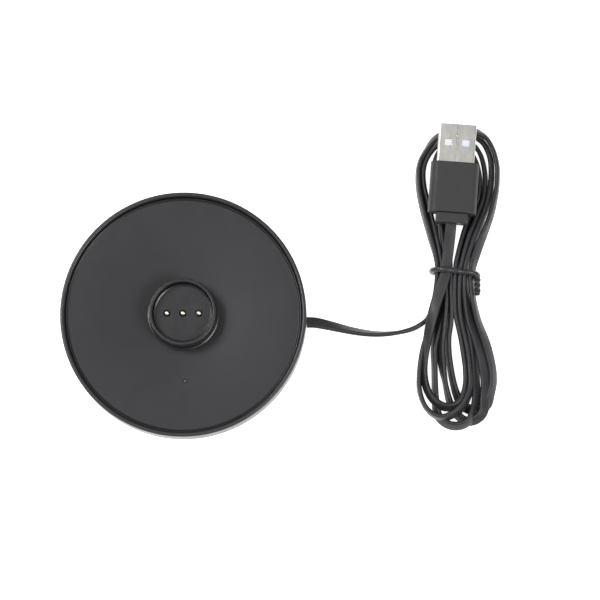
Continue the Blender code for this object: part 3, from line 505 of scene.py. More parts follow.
TURN_2 = (
    (84.0, 14.4, 2.9, 90), (83.7, 18.7, 2.8, 90), (82.8, 25.0, 2.3, 84), (82.2, 31.0, 1.8, 82),
    (81.1, 38.0, 1.2, 85), (80.3, 44.0, 0.8, 90), (80.4, 49.4, 0.5, 90), (81.9, 53.6, 0.3, 90),
    (84.5, 56.6, 0.2, 90), (87.8, 57.7, 0.2, 90), (91.0, 57.2, 0.2, 90), (93.4, 55.7, 0.2, 90),
    (95.3, 53.1, 0.4, 80), (96.5, 48.9, 0.6, 78), (96.9, 43.8, 0.9, 76), (96.4, 38.2, 1.2, 72),
    (94.2, 32.0, 1.8, 70), (91.6, 25.4, 2.3, 74), (89.5, 18.5, 2.8, 82), (88.7, 14.4, 2.9, 82),
    (88.4, 7.4, 2.5, 76), (88.8, 0.0, 1.9, 70), (90.4, -8.2, 1.4, 76), (91.3, -13.5, 1.2, 75),
    (91.6, -17.2, 1.3, 74), (91.7, -22.2, 1.6, 72), (90.6, -26.2, 2.2, 62), (88.6, -29.5, 2.6, 54),
    (85.8, -31.7, 2.6, 56), (82.6, -32.7, 2.2, 70), (79.4, -31.5, 1.5, 82), (76.8, -28.4, 0.8, 86),
    (75.3, -23.4, 0.3, 84), (75.3, -17.6, 0.1, 88), (76.2, -11.0, 0.2, 90), (77.9, -5.5, 0.5, 90),
    (79.8, -1.0, 1.1, 90), (81.4, 4.0, 1.9, 90), (82.3, 9.0, 2.6, 90),
)
TURN_3 = (
    (82.55, 14.4, 2.9, 90), (82.25, 18.6, 2.8, 88), (80.1, 27.6, 2.1, 66), (78.2, 36.2, 1.3, 68),
    (77.1, 41.5, 0.9, 76), (76.8, 46.7, 0.7, 80), (77.8, 50.8, 0.6, 82), (79.7, 54.0, 1.0, 75),
    (82.2, 56.8, 1.9, 55), (85.0, 58.8, 2.7, 40), (88.7, 59.9, 2.9, 36), (92.0, 60.2, 2.5, 45),
    (95.0, 59.7, 1.5, 62), (97.7, 57.8, 0.6, 78), (99.8, 53.7, 0.4, 80), (100.8, 49.0, 0.6, 80),
    (100.8, 45.0, 0.8, 80), (100.4, 40.6, 0.9, 78), (98.8, 33.6, 1.4, 70), (96.8, 27.9, 1.9, 64),
    (93.9, 20.6, 2.4, 48), (92.3, 14.4, 2.6, 62), (92.4, 7.4, 2.2, 70), (94.0, -0.8, 1.5, 64),
    (96.8, -8.9, 0.9, 46), (98.5, -15.9, 0.4, 50), (98.9, -20.8, 0.1, 56), (98.1, -24.8, 0.0, 50),
    (97.0, -28.2, 0.0, 40), (94.9, -29.8, 0.0, 32), (91.7, -29.9, 0.0, 32), (88.9, -28.3, 0.0, 42),
    (87.2, -25.0, 0.0, 60), (86.0, -20.6, 0.1, 70), (84.8, -13.2, 0.5, 70), (84.6, -7.2, 1.0, 72),
    (85.3, -2.0, 1.6, 74), (85.6, 3.7, 2.3, 82), (85.5, 9.2, 2.7, 90),
)
TURN_4 = (
    (85.45, 14.4, 2.9, 90), (85.3, 19.0, 2.8, 90), (84.6, 26.0, 2.2, 90), (83.9, 33.0, 1.6, 90),
    (82.9, 40.0, 1.0, 90), (82.4, 46.0, 0.7, 90), (83.3, 50.8, 0.5, 90), (85.5, 54.0, 0.4, 90),
    (88.4, 55.3, 0.3, 90), (91.2, 54.4, 0.3, 90), (93.3, 51.7, 0.4, 90), (94.8, 47.8, 0.5, 86),
    (95.2, 43.2, 0.6, 78), (94.9, 37.8, 0.6, 66), (93.1, 32.0, 0.6, 45), (91.2, 25.8, 0.8, 22),
    (90.0, 18.5, 1.4, 0), (89.7, 14.4, 1.5, 0), (89.8, 7.4, 1.1, 24), (90.6, 0.0, 0.5, 56),
    (91.9, -7.0, 0.3, 64), (92.9, -14.0, 0.3, 56), (93.4, -21.4, 0.4, 46), (93.5, -26.6, 0.8, 41),
    (92.4, -31.0, 1.3, 54), (90.7, -34.0, 1.5, 56), (87.5, -35.3, 1.3, 54), (84.0, -34.6, 0.9, 54),
    (81.3, -31.9, 0.5, 52), (80.5, -27.7, 0.1, 60), (80.3, -22.1, 0.0, 72), (80.2, -16.2, 0.1, 74),
    (80.1, -10.1, 0.3, 70), (81.1, -4.5, 0.5, 58), (82.4, 1.0, 0.8, 40), (83.2, 7.4, 1.2, 15),
)
TURN_5 = (
    (83.4, 14.4, 1.5, 0), (83.3, 18.5, 1.4, 0), (82.9, 25.0, 0.6, 12), (82.6, 31.5, 0.1, 25),
    (83.0, 38.0, 0.0, 45), (84.2, 44.0, 0.0, 70), (85.4, 49.0, 0.1, 85), (87.2, 51.6, 0.2, 90),
    (89.2, 51.8, 0.2, 90), (91.2, 50.0, 0.3, 90), (92.7, 46.6, 0.5, 90), (93.3, 42.4, 0.8, 88),
    (92.9, 37.4, 1.2, 80), (91.5, 31.6, 1.7, 70), (89.6, 25.6, 2.2, 72), (87.6, 18.5, 2.8, 82),
    (87.0, 14.4, 2.9, 82), (86.9, 7.4, 2.5, 76), (87.2, 0.7, 2.0, 72), (88.6, -6.7, 1.5, 78),
    (89.6, -13.0, 1.3, 77), (90.1, -17.3, 1.4, 76), (90.1, -21.9, 1.8, 74), (89.1, -26.2, 2.4, 68),
    (86.9, -28.8, 2.8, 60), (83.6, -29.4, 2.8, 56), (80.8, -28.0, 2.6, 58), (78.6, -25.4, 1.8, 64),
    (77.2, -21.7, 1.0, 62), (76.7, -16.8, 0.8, 60), (77.3, -11.1, 1.8, 56), (78.7, -3.7, 4.4, 36),
    (80.6, 3.7, 6.0, 10), (82.5, 9.2, 6.4, 2), (83.7, 13.2, 6.45, 0),
)
# The last stretch rises from the tie to the plug: x, y, z and turn, in metres and degrees
PLUG_LEAD = (
    (0.08425, 0.0175, 0.00715, 0),
    (0.08465, 0.0205, 0.00738, 0),
    (0.08500, 0.0234, 0.00800, 0),
    (0.08530, 0.0262, 0.00880, 0),
    (0.08545, 0.0278, 0.00908, 0),
    (0.08555, 0.0296, 0.00910, 0),
)


def half_height(turn):
    return CORD_REACH * math.sin(math.radians(turn)) + CORD_THICKNESS / 2


def lying(x, y, gap, turn):
    """A point of the hank in metres, at the height that its gap and its turned section give it."""
    return (x * MM, y * MM, gap * MM + half_height(turn), turn)


def cord_section(steps=4):
    """The flat section with rounded edges, and a flat middle on each side."""
    reach = CORD_WIDTH / 2 - CORD_EDGE_ROUND
    rise = CORD_THICKNESS / 2 - CORD_EDGE_ROUND
    corners = ((reach, rise, 0), (-reach, rise, 90), (-reach, -rise, 180), (reach, -rise, 270))
    outline = []
    for u, v, start in corners:
        for step in range(steps + 1):
            angle = math.radians(start + 90 * step / steps)
            outline.append((u + CORD_EDGE_ROUND * math.cos(angle), v + CORD_EDGE_ROUND * math.sin(angle)))
    return outline


def make_cord():
    hank = [lying(*point) for turn in (TURN_1, TURN_2, TURN_3, TURN_4, TURN_5) for point in turn]
    route = spline([*LEAD_ROUTE, *hank, *PLUG_LEAD], spacing=CORD_SPACING)
    places = [(x, y, max(z, half_height(turn))) for x, y, z, turn in route]
    turns = [math.radians(point[3]) for point in route]
    cord = swept("flat_usb_cord", places, cord_section(), turns=turns)
    return cord, places


CORD, CORD_PATH = make_cord()
add_piece(CORD, "cord", "cord_black", "cord_lead", "cord_hank", "cord_plug_lead")


# ---------------- twist tie

TIE_WIRE = 0.88 * MM
TIE_TWIST_WIRE = 0.60 * MM
TIE_TWIST_RADIUS = 0.46 * MM
TIE_TWISTS = 1.9

# Round the hank's waist, in millimetres
TIE_LOOP = (
    (94.2, 12.7, 4.4), (93.7, 13.2, 6.0), (91.8, 13.6, 7.15), (88.6, 13.9, 7.35), (86.8, 14.1, 8.0),
    (85.2, 14.2, 8.70), (83.0, 14.4, 8.70), (81.0, 14.5, 7.9), (79.7, 14.5, 6.4), (79.4, 14.5, 4.0),
    (79.7, 14.5, 1.8), (81.4, 14.5, 0.92), (87.0, 14.1, 0.92), (92.0, 13.6, 0.90), (93.7, 13.1, 1.9),
)
TIE_TAIL = ((93.7, 12.9, 5.4), (94.0, 11.9, 5.2), (94.0, 9.6, 5.0), (94.0, 6.9, 4.7))
# The two ends, twisted together, in millimetres
TIE_TAIL = ((93.7, 12.9, 5.4), (94.0, 11.9, 5.2), (94.0, 9.6, 5.0), (94.0, 6.9, 4.7))


def in_metres(points):
    return [[value * MM for value in point] for point in points]


def twisted_pair(name, route):
    """Two wires wound round each other along a route."""
    centre = [Vector(p) for p in spline(in_metres(route), spacing=0.00008)]
    strands = []
    for strand in range(2):
        places = []
        for i, here in enumerate(centre):
            ahead = centre[min(i + 1, len(centre) - 1)] - centre[max(i - 1, 0)]
            side = ahead.cross(Vector((0, 0, 1))).normalized()
            up = side.cross(ahead).normalized()
            angle = math.pi * strand + 2 * math.pi * TIE_TWISTS * i / (len(centre) - 1)
            places.append(here + (side * math.cos(angle) + up * math.sin(angle)) * TIE_TWIST_RADIUS)
        strands.append(smooth(swept(f"{name}_{strand}", places, circle(TIE_TWIST_WIRE, 12))))
    return strands


def make_tie():
    loop_places = spline(in_metres(TIE_LOOP), closed=True, spacing=0.0004)
    loop = swept("twist_tie_wire", loop_places, circle(TIE_WIRE), closed=True)
    tail = twisted_pair("twist_tie_tail", TIE_TAIL)
    add_piece(loop, "tie", "tie_black", "twist_tie")
    for strand in tail:
        add_piece(strand, "tie", "tie_black")
    return [loop, *tail]


TIE_PIECES = make_tie()


# ---------------- dock mouldings

LOW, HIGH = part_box("housing")
DOCK_RADIUS = HIGH.x
WALL_BOTTOM = LOW.z
RIM_TOP = HIGH.z
RIM_INNER_RADIUS = 0.03788
RIM_OUTER_ROUND = 0.45 * MM
RIM_INNER_ROUND = 0.60 * MM
WALL_INNER_RADIUS = 0.0377
LEDGE_INNER_RADIUS = 0.0355
LEDGE_BOTTOM = 0.0050
LEDGE_TOP = 0.0063
SLOT_HALF_WIDTH = 2.5 * MM
SLOT_MARGIN = 0.12 * MM

PLATE_TOP = 0.0080
PLATE_RADIUS = RIM_INNER_RADIUS - 0.14 * MM
PLATE_HOLE_RADIUS = 0.0105
PLATE_BOTTOM = LEDGE_TOP + 0.0003
BEAD_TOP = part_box("top_plate")[1].z
BEAD_WIDTH = 0.30 * MM
BEAD_REACH = 0.85 * MM  # from the plate's edge to where the flat begins

INDICATOR_LOW, INDICATOR_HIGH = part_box("indicator_light_pipe")
INDICATOR_AT = ((INDICATOR_LOW.x + INDICATOR_HIGH.x) / 2, (INDICATOR_LOW.y + INDICATOR_HIGH.y) / 2)
INDICATOR_HOLE_RADIUS = 0.50 * MM
INDICATOR_MOUTH_RADIUS = 0.72 * MM
INDICATOR_MOUTH_DEPTH = 0.10 * MM
LENS_RADIUS = 0.44 * MM
LENS_EDGE_DROP = 0.25 * MM
LENS_MIDDLE_DROP = 0.22 * MM


def make_housing():
    corners = [
        (DOCK_RADIUS, RIM_TOP, RIM_OUTER_ROUND),
        (DOCK_RADIUS, WALL_BOTTOM, RIM_OUTER_ROUND),
        (WALL_INNER_RADIUS, WALL_BOTTOM, 0.10 * MM),
        (WALL_INNER_RADIUS, LEDGE_BOTTOM, 0),
        (LEDGE_INNER_RADIUS, LEDGE_BOTTOM, 0.15 * MM),
        (LEDGE_INNER_RADIUS, LEDGE_TOP, 0.15 * MM),
        (RIM_INNER_RADIUS, LEDGE_TOP, 0),
        (RIM_INNER_RADIUS, RIM_TOP, RIM_INNER_ROUND),
    ]
    housing = turned("housing_wall", corners, steps=288, closed=True)
    low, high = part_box("cable_gland")
    y = CORD_EXIT[1]
    slot = block(
        "gland_slot",
        (WALL_INNER_RADIUS - CUT_PAST, y - SLOT_HALF_WIDTH - SLOT_MARGIN, low.z - SLOT_MARGIN),
        (DOCK_RADIUS + CUT_PAST, y + SLOT_HALF_WIDTH + SLOT_MARGIN, high.z + SLOT_MARGIN),
        rounding=0.45 * MM,
        axis=0,
    )
    smooth(combine(housing, [slot], "DIFFERENCE"))
    add_piece(housing, "housing", "gloss_black", "housing")


def make_plate():
    corners = [
        (PLATE_RADIUS, BEAD_TOP, 0.22 * MM),
        (PLATE_RADIUS, PLATE_BOTTOM, 0.1 * MM),
        (PLATE_HOLE_RADIUS, PLATE_BOTTOM, 0),
        (PLATE_HOLE_RADIUS, PLATE_TOP, 0.05 * MM),
        (PLATE_RADIUS - BEAD_REACH, PLATE_TOP, 0.30 * MM),
        (PLATE_RADIUS - BEAD_WIDTH, BEAD_TOP, 0.40 * MM),
    ]
    plate = turned("inset_plate", corners, steps=288, closed=True)
    hole_corners = [
        (0, PLATE_BOTTOM - CUT_PAST, 0),
        (INDICATOR_HOLE_RADIUS, PLATE_BOTTOM - CUT_PAST, 0),
        (INDICATOR_HOLE_RADIUS, PLATE_TOP - INDICATOR_MOUTH_DEPTH, 0),
        (INDICATOR_MOUTH_RADIUS, PLATE_TOP + INDICATOR_MOUTH_DEPTH, 0),
        (0, PLATE_TOP + INDICATOR_MOUTH_DEPTH, 0),
    ]
    hole = turned("indicator_hole", hole_corners, steps=48, at=INDICATOR_AT)
    smooth(combine(plate, [hole], "DIFFERENCE"))
    add_piece(plate, "plate", "plate_black", "top_plate")


def make_light_pipe():
    corners = [
        (0, INDICATOR_LOW.z, 0),
        (LENS_RADIUS, INDICATOR_LOW.z, 0),
        (LENS_RADIUS, INDICATOR_HIGH.z - LENS_EDGE_DROP, 0.12 * MM),
        (0, INDICATOR_HIGH.z - LENS_MIDDLE_DROP, 0),
    ]
    pipe = turned("indicator_lens", corners, steps=40, at=INDICATOR_AT)
    add_piece(pipe, "light_pipe", "light_pipe", "indicator_light_pipe")


COLLAR_TOP_RADIUS = 10.72 * MM
COLLAR_WAIST_RADIUS = 10.86 * MM
COLLAR_SPIGOT_RADIUS = 10.2 * MM
COLLAR_BORE_RADIUS = 9.62 * MM
FLANGE_BOTTOM = PLATE_TOP + 0.03 * MM
FLANGE_TOP = PLATE_TOP + 0.62 * MM
FLANGE_SLOPE = 0.15 * MM


def make_collar():
    low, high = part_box("docking_collar")
    corners = [
        (COLLAR_TOP_RADIUS, high.z, 0.34 * MM),
        (COLLAR_WAIST_RADIUS, FLANGE_TOP, 0.28 * MM),
        (high.x, FLANGE_TOP - FLANGE_SLOPE, 0.18 * MM),
        (high.x, FLANGE_BOTTOM, 0.03 * MM),
        (COLLAR_SPIGOT_RADIUS, FLANGE_BOTTOM, 0),
        (COLLAR_SPIGOT_RADIUS, low.z, 0.1 * MM),
        (COLLAR_BORE_RADIUS, low.z, 0.1 * MM),
        (COLLAR_BORE_RADIUS, high.z, 0.28 * MM),
    ]
    collar = turned("collar_ring", corners, steps=224, closed=True)
    add_piece(collar, "collar", "plate_black", "docking_collar")


FLOOR_DISH = 0.22 * MM  # the floor lies this far below the bead round it
FLOOR_RADIUS = 8.75 * MM
FLOOR_BEAD_RADIUS = 9.20 * MM
CARRIER_RADIUS = 9.44 * MM
CARRIER_FLANGE = 0.7 * MM
PIN_BORE_RADIUS = 1.15 * MM
PIN_BORE_PAST = 0.12 * MM
MAGNET_POCKET_RADIUS = 2.2 * MM
MAGNET_POCKET_CLEARANCE = 0.0003
PIN_PLACES = {"left": -5.1 * MM, "middle": 0.0, "right": 5.1 * MM}


def make_carrier():
    low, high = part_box("contact_carrier")
    corners = [
        (0, high.z - FLOOR_DISH, 0),
        (FLOOR_RADIUS, high.z - FLOOR_DISH, 0.30 * MM),
        (FLOOR_BEAD_RADIUS, high.z, 0.30 * MM),
        (CARRIER_RADIUS, high.z, 0.10 * MM),
        (CARRIER_RADIUS, low.z + CARRIER_FLANGE, 0),
        (high.x, low.z + CARRIER_FLANGE, 0.1 * MM),
        (high.x, low.z, 0.1 * MM),
        (0, low.z, 0),
    ]
    carrier = turned("contact_floor", corners, steps=192)
    bottom = low.z - CUT_PAST
    cutters = [
        cylinder(f"bore_{side}", PIN_BORE_RADIUS, bottom, high.z + PIN_BORE_PAST, (x, 0.0), steps=56)
        for side, x in PIN_PLACES.items()
    ]
    for name in ("magnet_rear", "magnet_front"):
        mlow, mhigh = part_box(name)
        at = (0.0, (mlow.y + mhigh.y) / 2)
        top = mhigh.z + MAGNET_POCKET_CLEARANCE
        cutters.append(cylinder(f"{name}_pocket", MAGNET_POCKET_RADIUS, bottom, top, at))
    smooth(combine(carrier, cutters, "DIFFERENCE"))
    add_piece(carrier, "collar", "plate_black", "contact_carrier")


SLEEVE_RADIUS = 1.00 * MM
SLEEVE_BORE_RADIUS = 0.86 * MM
SLEEVE_LIP_RADIUS = 0.79 * MM
SLEEVE_LIP_DEPTH = 0.3 * MM
SLEEVE_FLOOR = 1.72 * MM
SLEEVE_SHOULDER = 1.32 * MM
SLEEVE_TAIL_RADIUS = 0.40 * MM

TIP_RADIUS = 0.76 * MM
TIP_DOME_HEIGHT = 0.50 * MM
TIP_DIMPLE_DEPTH = 0.34 * MM
TIP_DIMPLE_RADIUS = 0.16 * MM
TIP_DIMPLE_EDGE = 0.28 * MM
TIP_DOME_START = 24  # degrees from the pin's axis
TIP_DOME_STEPS = 14
TIP_SHOULDER_RADIUS = 0.80 * MM
TIP_SHOULDER_HEIGHT = 1.1 * MM


def make_pins():
    turns = [
        math.radians(TIP_DOME_START + (90 - TIP_DOME_START) * k / TIP_DOME_STEPS)
        for k in range(TIP_DOME_STEPS + 1)
    ]
    for side, x in PIN_PLACES.items():
        low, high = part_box(f"pin_barrel_{side}")
        corners = [
            (0, low.z + SLEEVE_FLOOR, 0),
            (SLEEVE_BORE_RADIUS, low.z + SLEEVE_FLOOR, 0),
            (SLEEVE_BORE_RADIUS, high.z - SLEEVE_LIP_DEPTH, 0.05 * MM),
            (SLEEVE_LIP_RADIUS, high.z - SLEEVE_LIP_DEPTH, 0),
            (SLEEVE_LIP_RADIUS, high.z, 0.06 * MM),
            (SLEEVE_RADIUS, high.z, 0.16 * MM),
            (SLEEVE_RADIUS, low.z + SLEEVE_SHOULDER, 0.1 * MM),
            (SLEEVE_TAIL_RADIUS, low.z + SLEEVE_SHOULDER, 0),
            (SLEEVE_TAIL_RADIUS, low.z, 0.12 * MM),
            (0, low.z, 0),
        ]
        barrel = turned(f"pin_sleeve_{side}", corners, steps=48, at=(x, 0.0), segments=4)
        add_piece(barrel, "gilt", "gilt", f"pin_barrel_{side}")

        low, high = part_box(f"pin_plunger_{side}")
        dome = [
            (TIP_RADIUS * math.sin(a), high.z - TIP_DOME_HEIGHT * (1 - math.cos(a)), 0) for a in turns
        ]
        corners = [
            (0, high.z - TIP_DIMPLE_DEPTH, 0),
            (TIP_DIMPLE_RADIUS, high.z - TIP_DIMPLE_EDGE, 0),
            *dome,
            (TIP_RADIUS, low.z + TIP_SHOULDER_HEIGHT, 0),
            (TIP_SHOULDER_RADIUS, low.z + TIP_SHOULDER_HEIGHT, 0.02 * MM),
            (TIP_SHOULDER_RADIUS, low.z, 0.08 * MM),
            (0, low.z, 0),
        ]
        plunger = turned(f"contact_tip_{side}", corners, steps=48, at=(x, 0.0), segments=3)
        add_piece(plunger, "gilt", "gilt", f"pin_plunger_{side}", body=f"pin_{side}")


# Rings of painted shade over the gaps between the pin barrels and their bores
SHADE_RING_RADII = (0.80 * MM, 1.13 * MM)
SHADE_RING_HEIGHTS = (0.02 * MM, 0.05 * MM)  # above the barrel's top


def make_pin_shade_rings():
    """A near-black ring over the gap between each barrel and its bore: painted shade where that gap lies in
    shadow.
    """
    inner, outer = SHADE_RING_RADII
    for side, x in PIN_PLACES.items():
        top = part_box(f"pin_barrel_{side}")[1].z
        bottom, crown = (top + height for height in SHADE_RING_HEIGHTS)
        corners = [(outer, bottom, 0), (inner, bottom, 0), (inner, crown, 0), (outer, crown, 0)]
        painted_gap_shade = turned(f"pin_painted_shade_{side}", corners, steps=48, closed=True, at=(x, 0.0))
        add_piece(painted_gap_shade, "painted_gap_shade", "plate_black")


SPRING_COIL = 0.55 * MM
SPRING_WIRE = 0.12 * MM
SPRING_COILS = 5
SPRING_STEPS = 24
SPRING_END_PITCH = 0.34 * MM


def make_springs():
    """Each spring has a closed coil at either end."""
    for side, x in PIN_PLACES.items():
        low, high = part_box(f"pin_spring_{side}")
        start, end = low.z + SPRING_WIRE, high.z - SPRING_WIRE
        pitch = (end - start - 2 * SPRING_END_PITCH) / SPRING_COILS
        places = []
        height = start
        for coil in range(SPRING_COILS + 2):
            rise = SPRING_END_PITCH if coil in (0, SPRING_COILS + 1) else pitch
            for step in range(SPRING_STEPS):
                angle = 2 * math.pi * step / SPRING_STEPS
                across, along = SPRING_COIL * math.cos(angle), SPRING_COIL * math.sin(angle)
                places.append((x + across, along, height + rise * step / SPRING_STEPS))
            height += rise
        spring = swept(f"contact_spring_{side}", places, circle(SPRING_WIRE, 8))
        add_piece(spring, "spring", "spring_steel", f"pin_spring_{side}")
        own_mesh(spring)


FOOT_INNER_RADIUS = 31.0 * MM
FOOT_CLEARANCE = 0.3 * MM
FOOT_GROOVE_HEIGHT = 0.25 * MM
FOOT_EDGE_HEIGHT = 0.2 * MM
RIB_COUNT = 4
RIB_FOOT_INSET = 0.12 * MM
RIB_CREST_INSET = 0.24 * MM
COVER_DISH_RADII = (14.0 * MM, 13.8 * MM)
COVER_DISH_DEPTH = 0.15 * MM
HEAD_RECESS_RADIUS = 2.3 * MM
HEAD_RECESS_TOP = 1.5 * MM
SCREW_WAY_RADIUS = 1.1 * MM
SCREW_WAY_HEIGHTS = (1.0 * MM, 3.0 * MM)


def make_cover():
    low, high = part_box("base_cover")
    foot_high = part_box("foot_ring")[1]
    outer, inner = foot_high.x + FOOT_CLEARANCE, FOOT_INNER_RADIUS - FOOT_CLEARANCE
    channel_top = foot_high.z + FOOT_CLEARANCE
    corners = [
        (0, high.z, 0),
        (high.x, high.z, 0.1 * MM),
        (high.x, low.z, 0.25 * MM),
        (outer, low.z, 0.1 * MM),
        (outer, channel_top, 0),
        (inner, channel_top, 0),
        (inner, low.z, 0.1 * MM),
        (COVER_DISH_RADII[0], low.z, 0.1 * MM),
        (COVER_DISH_RADII[1], low.z + COVER_DISH_DEPTH, 0),
        (0, low.z + COVER_DISH_DEPTH, 0),
    ]
    cover = turned("base_cover_moulding", corners, steps=224)
    cutters = []
    for i in range(SCREW_COUNT):
        at = screw_place(i)
        cutters.append(cylinder(f"head_recess_{i}", HEAD_RECESS_RADIUS, -CUT_PAST, HEAD_RECESS_TOP, at))
        cutters.append(cylinder(f"screw_way_{i}", SCREW_WAY_RADIUS, *SCREW_WAY_HEIGHTS, at, steps=32))
    smooth(combine(cover, cutters, "DIFFERENCE"))
    add_piece(cover, "plate", "plate_black", "base_cover")


def make_foot():
    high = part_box("foot_ring")[1]
    pitch = (high.x - FOOT_INNER_RADIUS) / RIB_COUNT
    ribs = []
    for k in range(RIB_COUNT):
        start = FOOT_INNER_RADIUS + k * pitch
        ribs += [
            (start + RIB_FOOT_INSET, FOOT_GROOVE_HEIGHT, 0.05 * MM),
            (start + RIB_CREST_INSET, 0.0, 0.10 * MM),
            (start + pitch - RIB_CREST_INSET, 0.0, 0.10 * MM),
            (start + pitch - RIB_FOOT_INSET, FOOT_GROOVE_HEIGHT, 0.05 * MM),
        ]
    corners = [
        (FOOT_INNER_RADIUS, high.z, 0.08 * MM),
        (FOOT_INNER_RADIUS, FOOT_EDGE_HEIGHT, 0.05 * MM),
        *ribs,
        (high.x, FOOT_EDGE_HEIGHT, 0.05 * MM),
        (high.x, high.z, 0.08 * MM),
    ]
    foot = turned("ribbed_foot", corners, steps=192, closed=True, segments=3)
    add_piece(foot, "rubber", "foot_rubber", "foot_ring")


SCREW_COUNT = 4
HEAD_RADIUS = 2.0 * MM
HEAD_HEIGHT = 0.6 * MM
THREAD_ROOT = 0.72 * MM
THREAD_CREST = 0.90 * MM
THREAD_FLANK = 0.16 * MM
THREAD_PITCH = 0.42 * MM
THREAD_START = 0.25 * MM  # above the head
THREAD_END = 0.9 * MM  # below the point
POINT_HEIGHT = 0.5 * MM
DRIVE_LENGTH = 1.15 * MM
DRIVE_WIDTH = 0.22 * MM
DRIVE_DEPTH = 0.38 * MM


def screw_place(i):
    low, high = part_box(f"base_screw_{i + 1}")
    return ((low.x + high.x) / 2, (low.y + high.y) / 2)


def make_base_screws():
    for i in range(SCREW_COUNT):
        low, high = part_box(f"base_screw_{i + 1}")
        at = screw_place(i)
        head_top = low.z + HEAD_HEIGHT
        thread = []
        z = head_top + THREAD_START
        while z < high.z - THREAD_END:
            thread += [
                (THREAD_ROOT, z, 0),
                (THREAD_CREST, z + THREAD_FLANK, 0),
                (THREAD_ROOT, z + 2 * THREAD_FLANK, 0),
            ]
            z += THREAD_PITCH
        corners = [
            (0, low.z, 0),
            (HEAD_RADIUS, low.z, 0.35 * MM),
            (HEAD_RADIUS, head_top, 0.06 * MM),
            (THREAD_ROOT, head_top, 0),
            *thread,
            (THREAD_ROOT, high.z - POINT_HEIGHT, 0),
            (0, high.z, 0),
        ]
        screw = turned(f"base_fixing_{i + 1}", corners, steps=48, at=at, segments=4)
        arms = [
            block(
                f"drive_{k}",
                (at[0] - a, at[1] - b, low.z - CUT_PAST),
                (at[0] + a, at[1] + b, low.z + DRIVE_DEPTH),
            )
            for k, (a, b) in enumerate(((DRIVE_LENGTH, DRIVE_WIDTH), (DRIVE_WIDTH, DRIVE_LENGTH)))
        ]
        smooth(combine(screw, arms, "DIFFERENCE"))
        add_piece(screw, "zinc", "zinc_steel", f"base_screw_{i + 1}")


GLAND_HALF_WIDTH = 2.45 * MM
GLAND_FLANGE_HALF_WIDTH = 3.6 * MM
GLAND_FLANGE_THICKNESS = 1.0 * MM
GLAND_FLANGE_INSET = 0.05 * MM
GLAND_WAY_HALF = (2.0 * MM, 0.8 * MM)


def make_gland():
    low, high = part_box("cable_gland")
    x, y, z = CORD_EXIT
    gland = block(
        "lead_gland",
        (low.x, y - GLAND_HALF_WIDTH, low.z),
        (high.x, y + GLAND_HALF_WIDTH, high.z),
        rounding=0.45 * MM,
        axis=0,
        edge=0.12 * MM,
    )
    flange = block(
        "flange",
        (low.x, y - GLAND_FLANGE_HALF_WIDTH, low.z + GLAND_FLANGE_INSET),
        (low.x + GLAND_FLANGE_THICKNESS, y + GLAND_FLANGE_HALF_WIDTH, high.z - GLAND_FLANGE_INSET),
    )
    combine(gland, [flange], "UNION")
    across, up = GLAND_WAY_HALF
    way = block(
        "way",
        (low.x - CUT_PAST, y - across, z - up),
        (high.x + CUT_PAST, y + across, z + up),
        rounding=0.5 * MM,
        axis=0,
    )
    smooth(combine(gland, [way], "DIFFERENCE"))
    return add_piece(gland, "cord", "cord_black", "cable_gland")


make_housing()
make_plate()
make_light_pipe()
make_collar()
make_carrier()
make_pins()
make_pin_shade_rings()
make_springs()
make_cover()
make_foot()
make_base_screws()
GLAND = make_gland()


# ---------------- USB plug

PLUG_AT = Vector((0.08705, 0.0486, 0.0091))
PLUG_TURN = math.radians(-4.4)
PLUG_FRAME = Matrix.Translation(PLUG_AT) @ Matrix.Rotation(PLUG_TURN, 4, "Z")

SHELL_WIDTH = 12.0 * MM
SHELL_HEIGHT = 4.5 * MM
SHELL_LENGTH = 12.5 * MM
SHELL_SEATED = 4.0 * MM
SHELL_WALL = 0.32 * MM
SHELL_CUT = (-0.006, 0.014)  # the hollow and the seam run past both of the shell's ends
WINDOW_SIZE = (2.7 * MM, 2.2 * MM)
WINDOW_OFFSET = 2.8 * MM
WINDOW_MIDDLE = SHELL_LENGTH - 6.1 * MM
WINDOW_CUT = 0.004
SEAM_HALF_WIDTH = 0.045 * MM
SEAM_DEPTH = 0.20 * MM

# The seam's tab, in millimetres about its middle: its outline, narrow end first
TAB_OUTLINE = ((-0.16, -0.35), (0.16, -0.35), (0.34, 0.35), (-0.34, 0.35))
TAB_FROM_END = 3.75 * MM
TAB_SUNK = 0.12 * MM
TAB_THICKNESS = 0.13 * MM

TONGUE_HALF_WIDTH = 5.5 * MM
TONGUE_HEIGHTS = (0.15 * MM, 1.75 * MM)
TONGUE_END = SHELL_LENGTH - 0.8 * MM
GROOVE_HALF_WIDTH = 0.62 * MM
GROOVE_START = 0.0008
GROOVE_END = SHELL_LENGTH - 1.5 * MM
GROOVE_TOP = 0.33 * MM

CONTACT_PLACES = (-3.5, -1.0, 1.0, 3.5)  # across the plug, in millimetres
OUTER_TIP = 11.0 * MM
INNER_TIP = 10.0 * MM
BLADE_HALF = (0.5 * MM, 0.1 * MM)
BLADE_SPACING = 0.0004

GRIP_SIZE = (15.5 * MM, 16.3 * MM, 7.4 * MM)
GRIP_CLEARANCE = 0.06 * MM
GRIP_SOCKET = (4.2 * MM, 3.3 * MM, 2.0 * MM)
RELIEF_SIZE = (10.2 * MM, 3.2 * MM, 5.0 * MM)
RELIEF_GAP = 0.05 * MM
RELIEF_TONGUE = (3.9 * MM, 3.0 * MM, 1.7 * MM)
LEAD_CLEARANCE = 0.08 * MM
LEAD_SEATED = 1.2 * MM


def into_place(obj):
    obj.data.transform(PLUG_FRAME)
    obj.data.update()


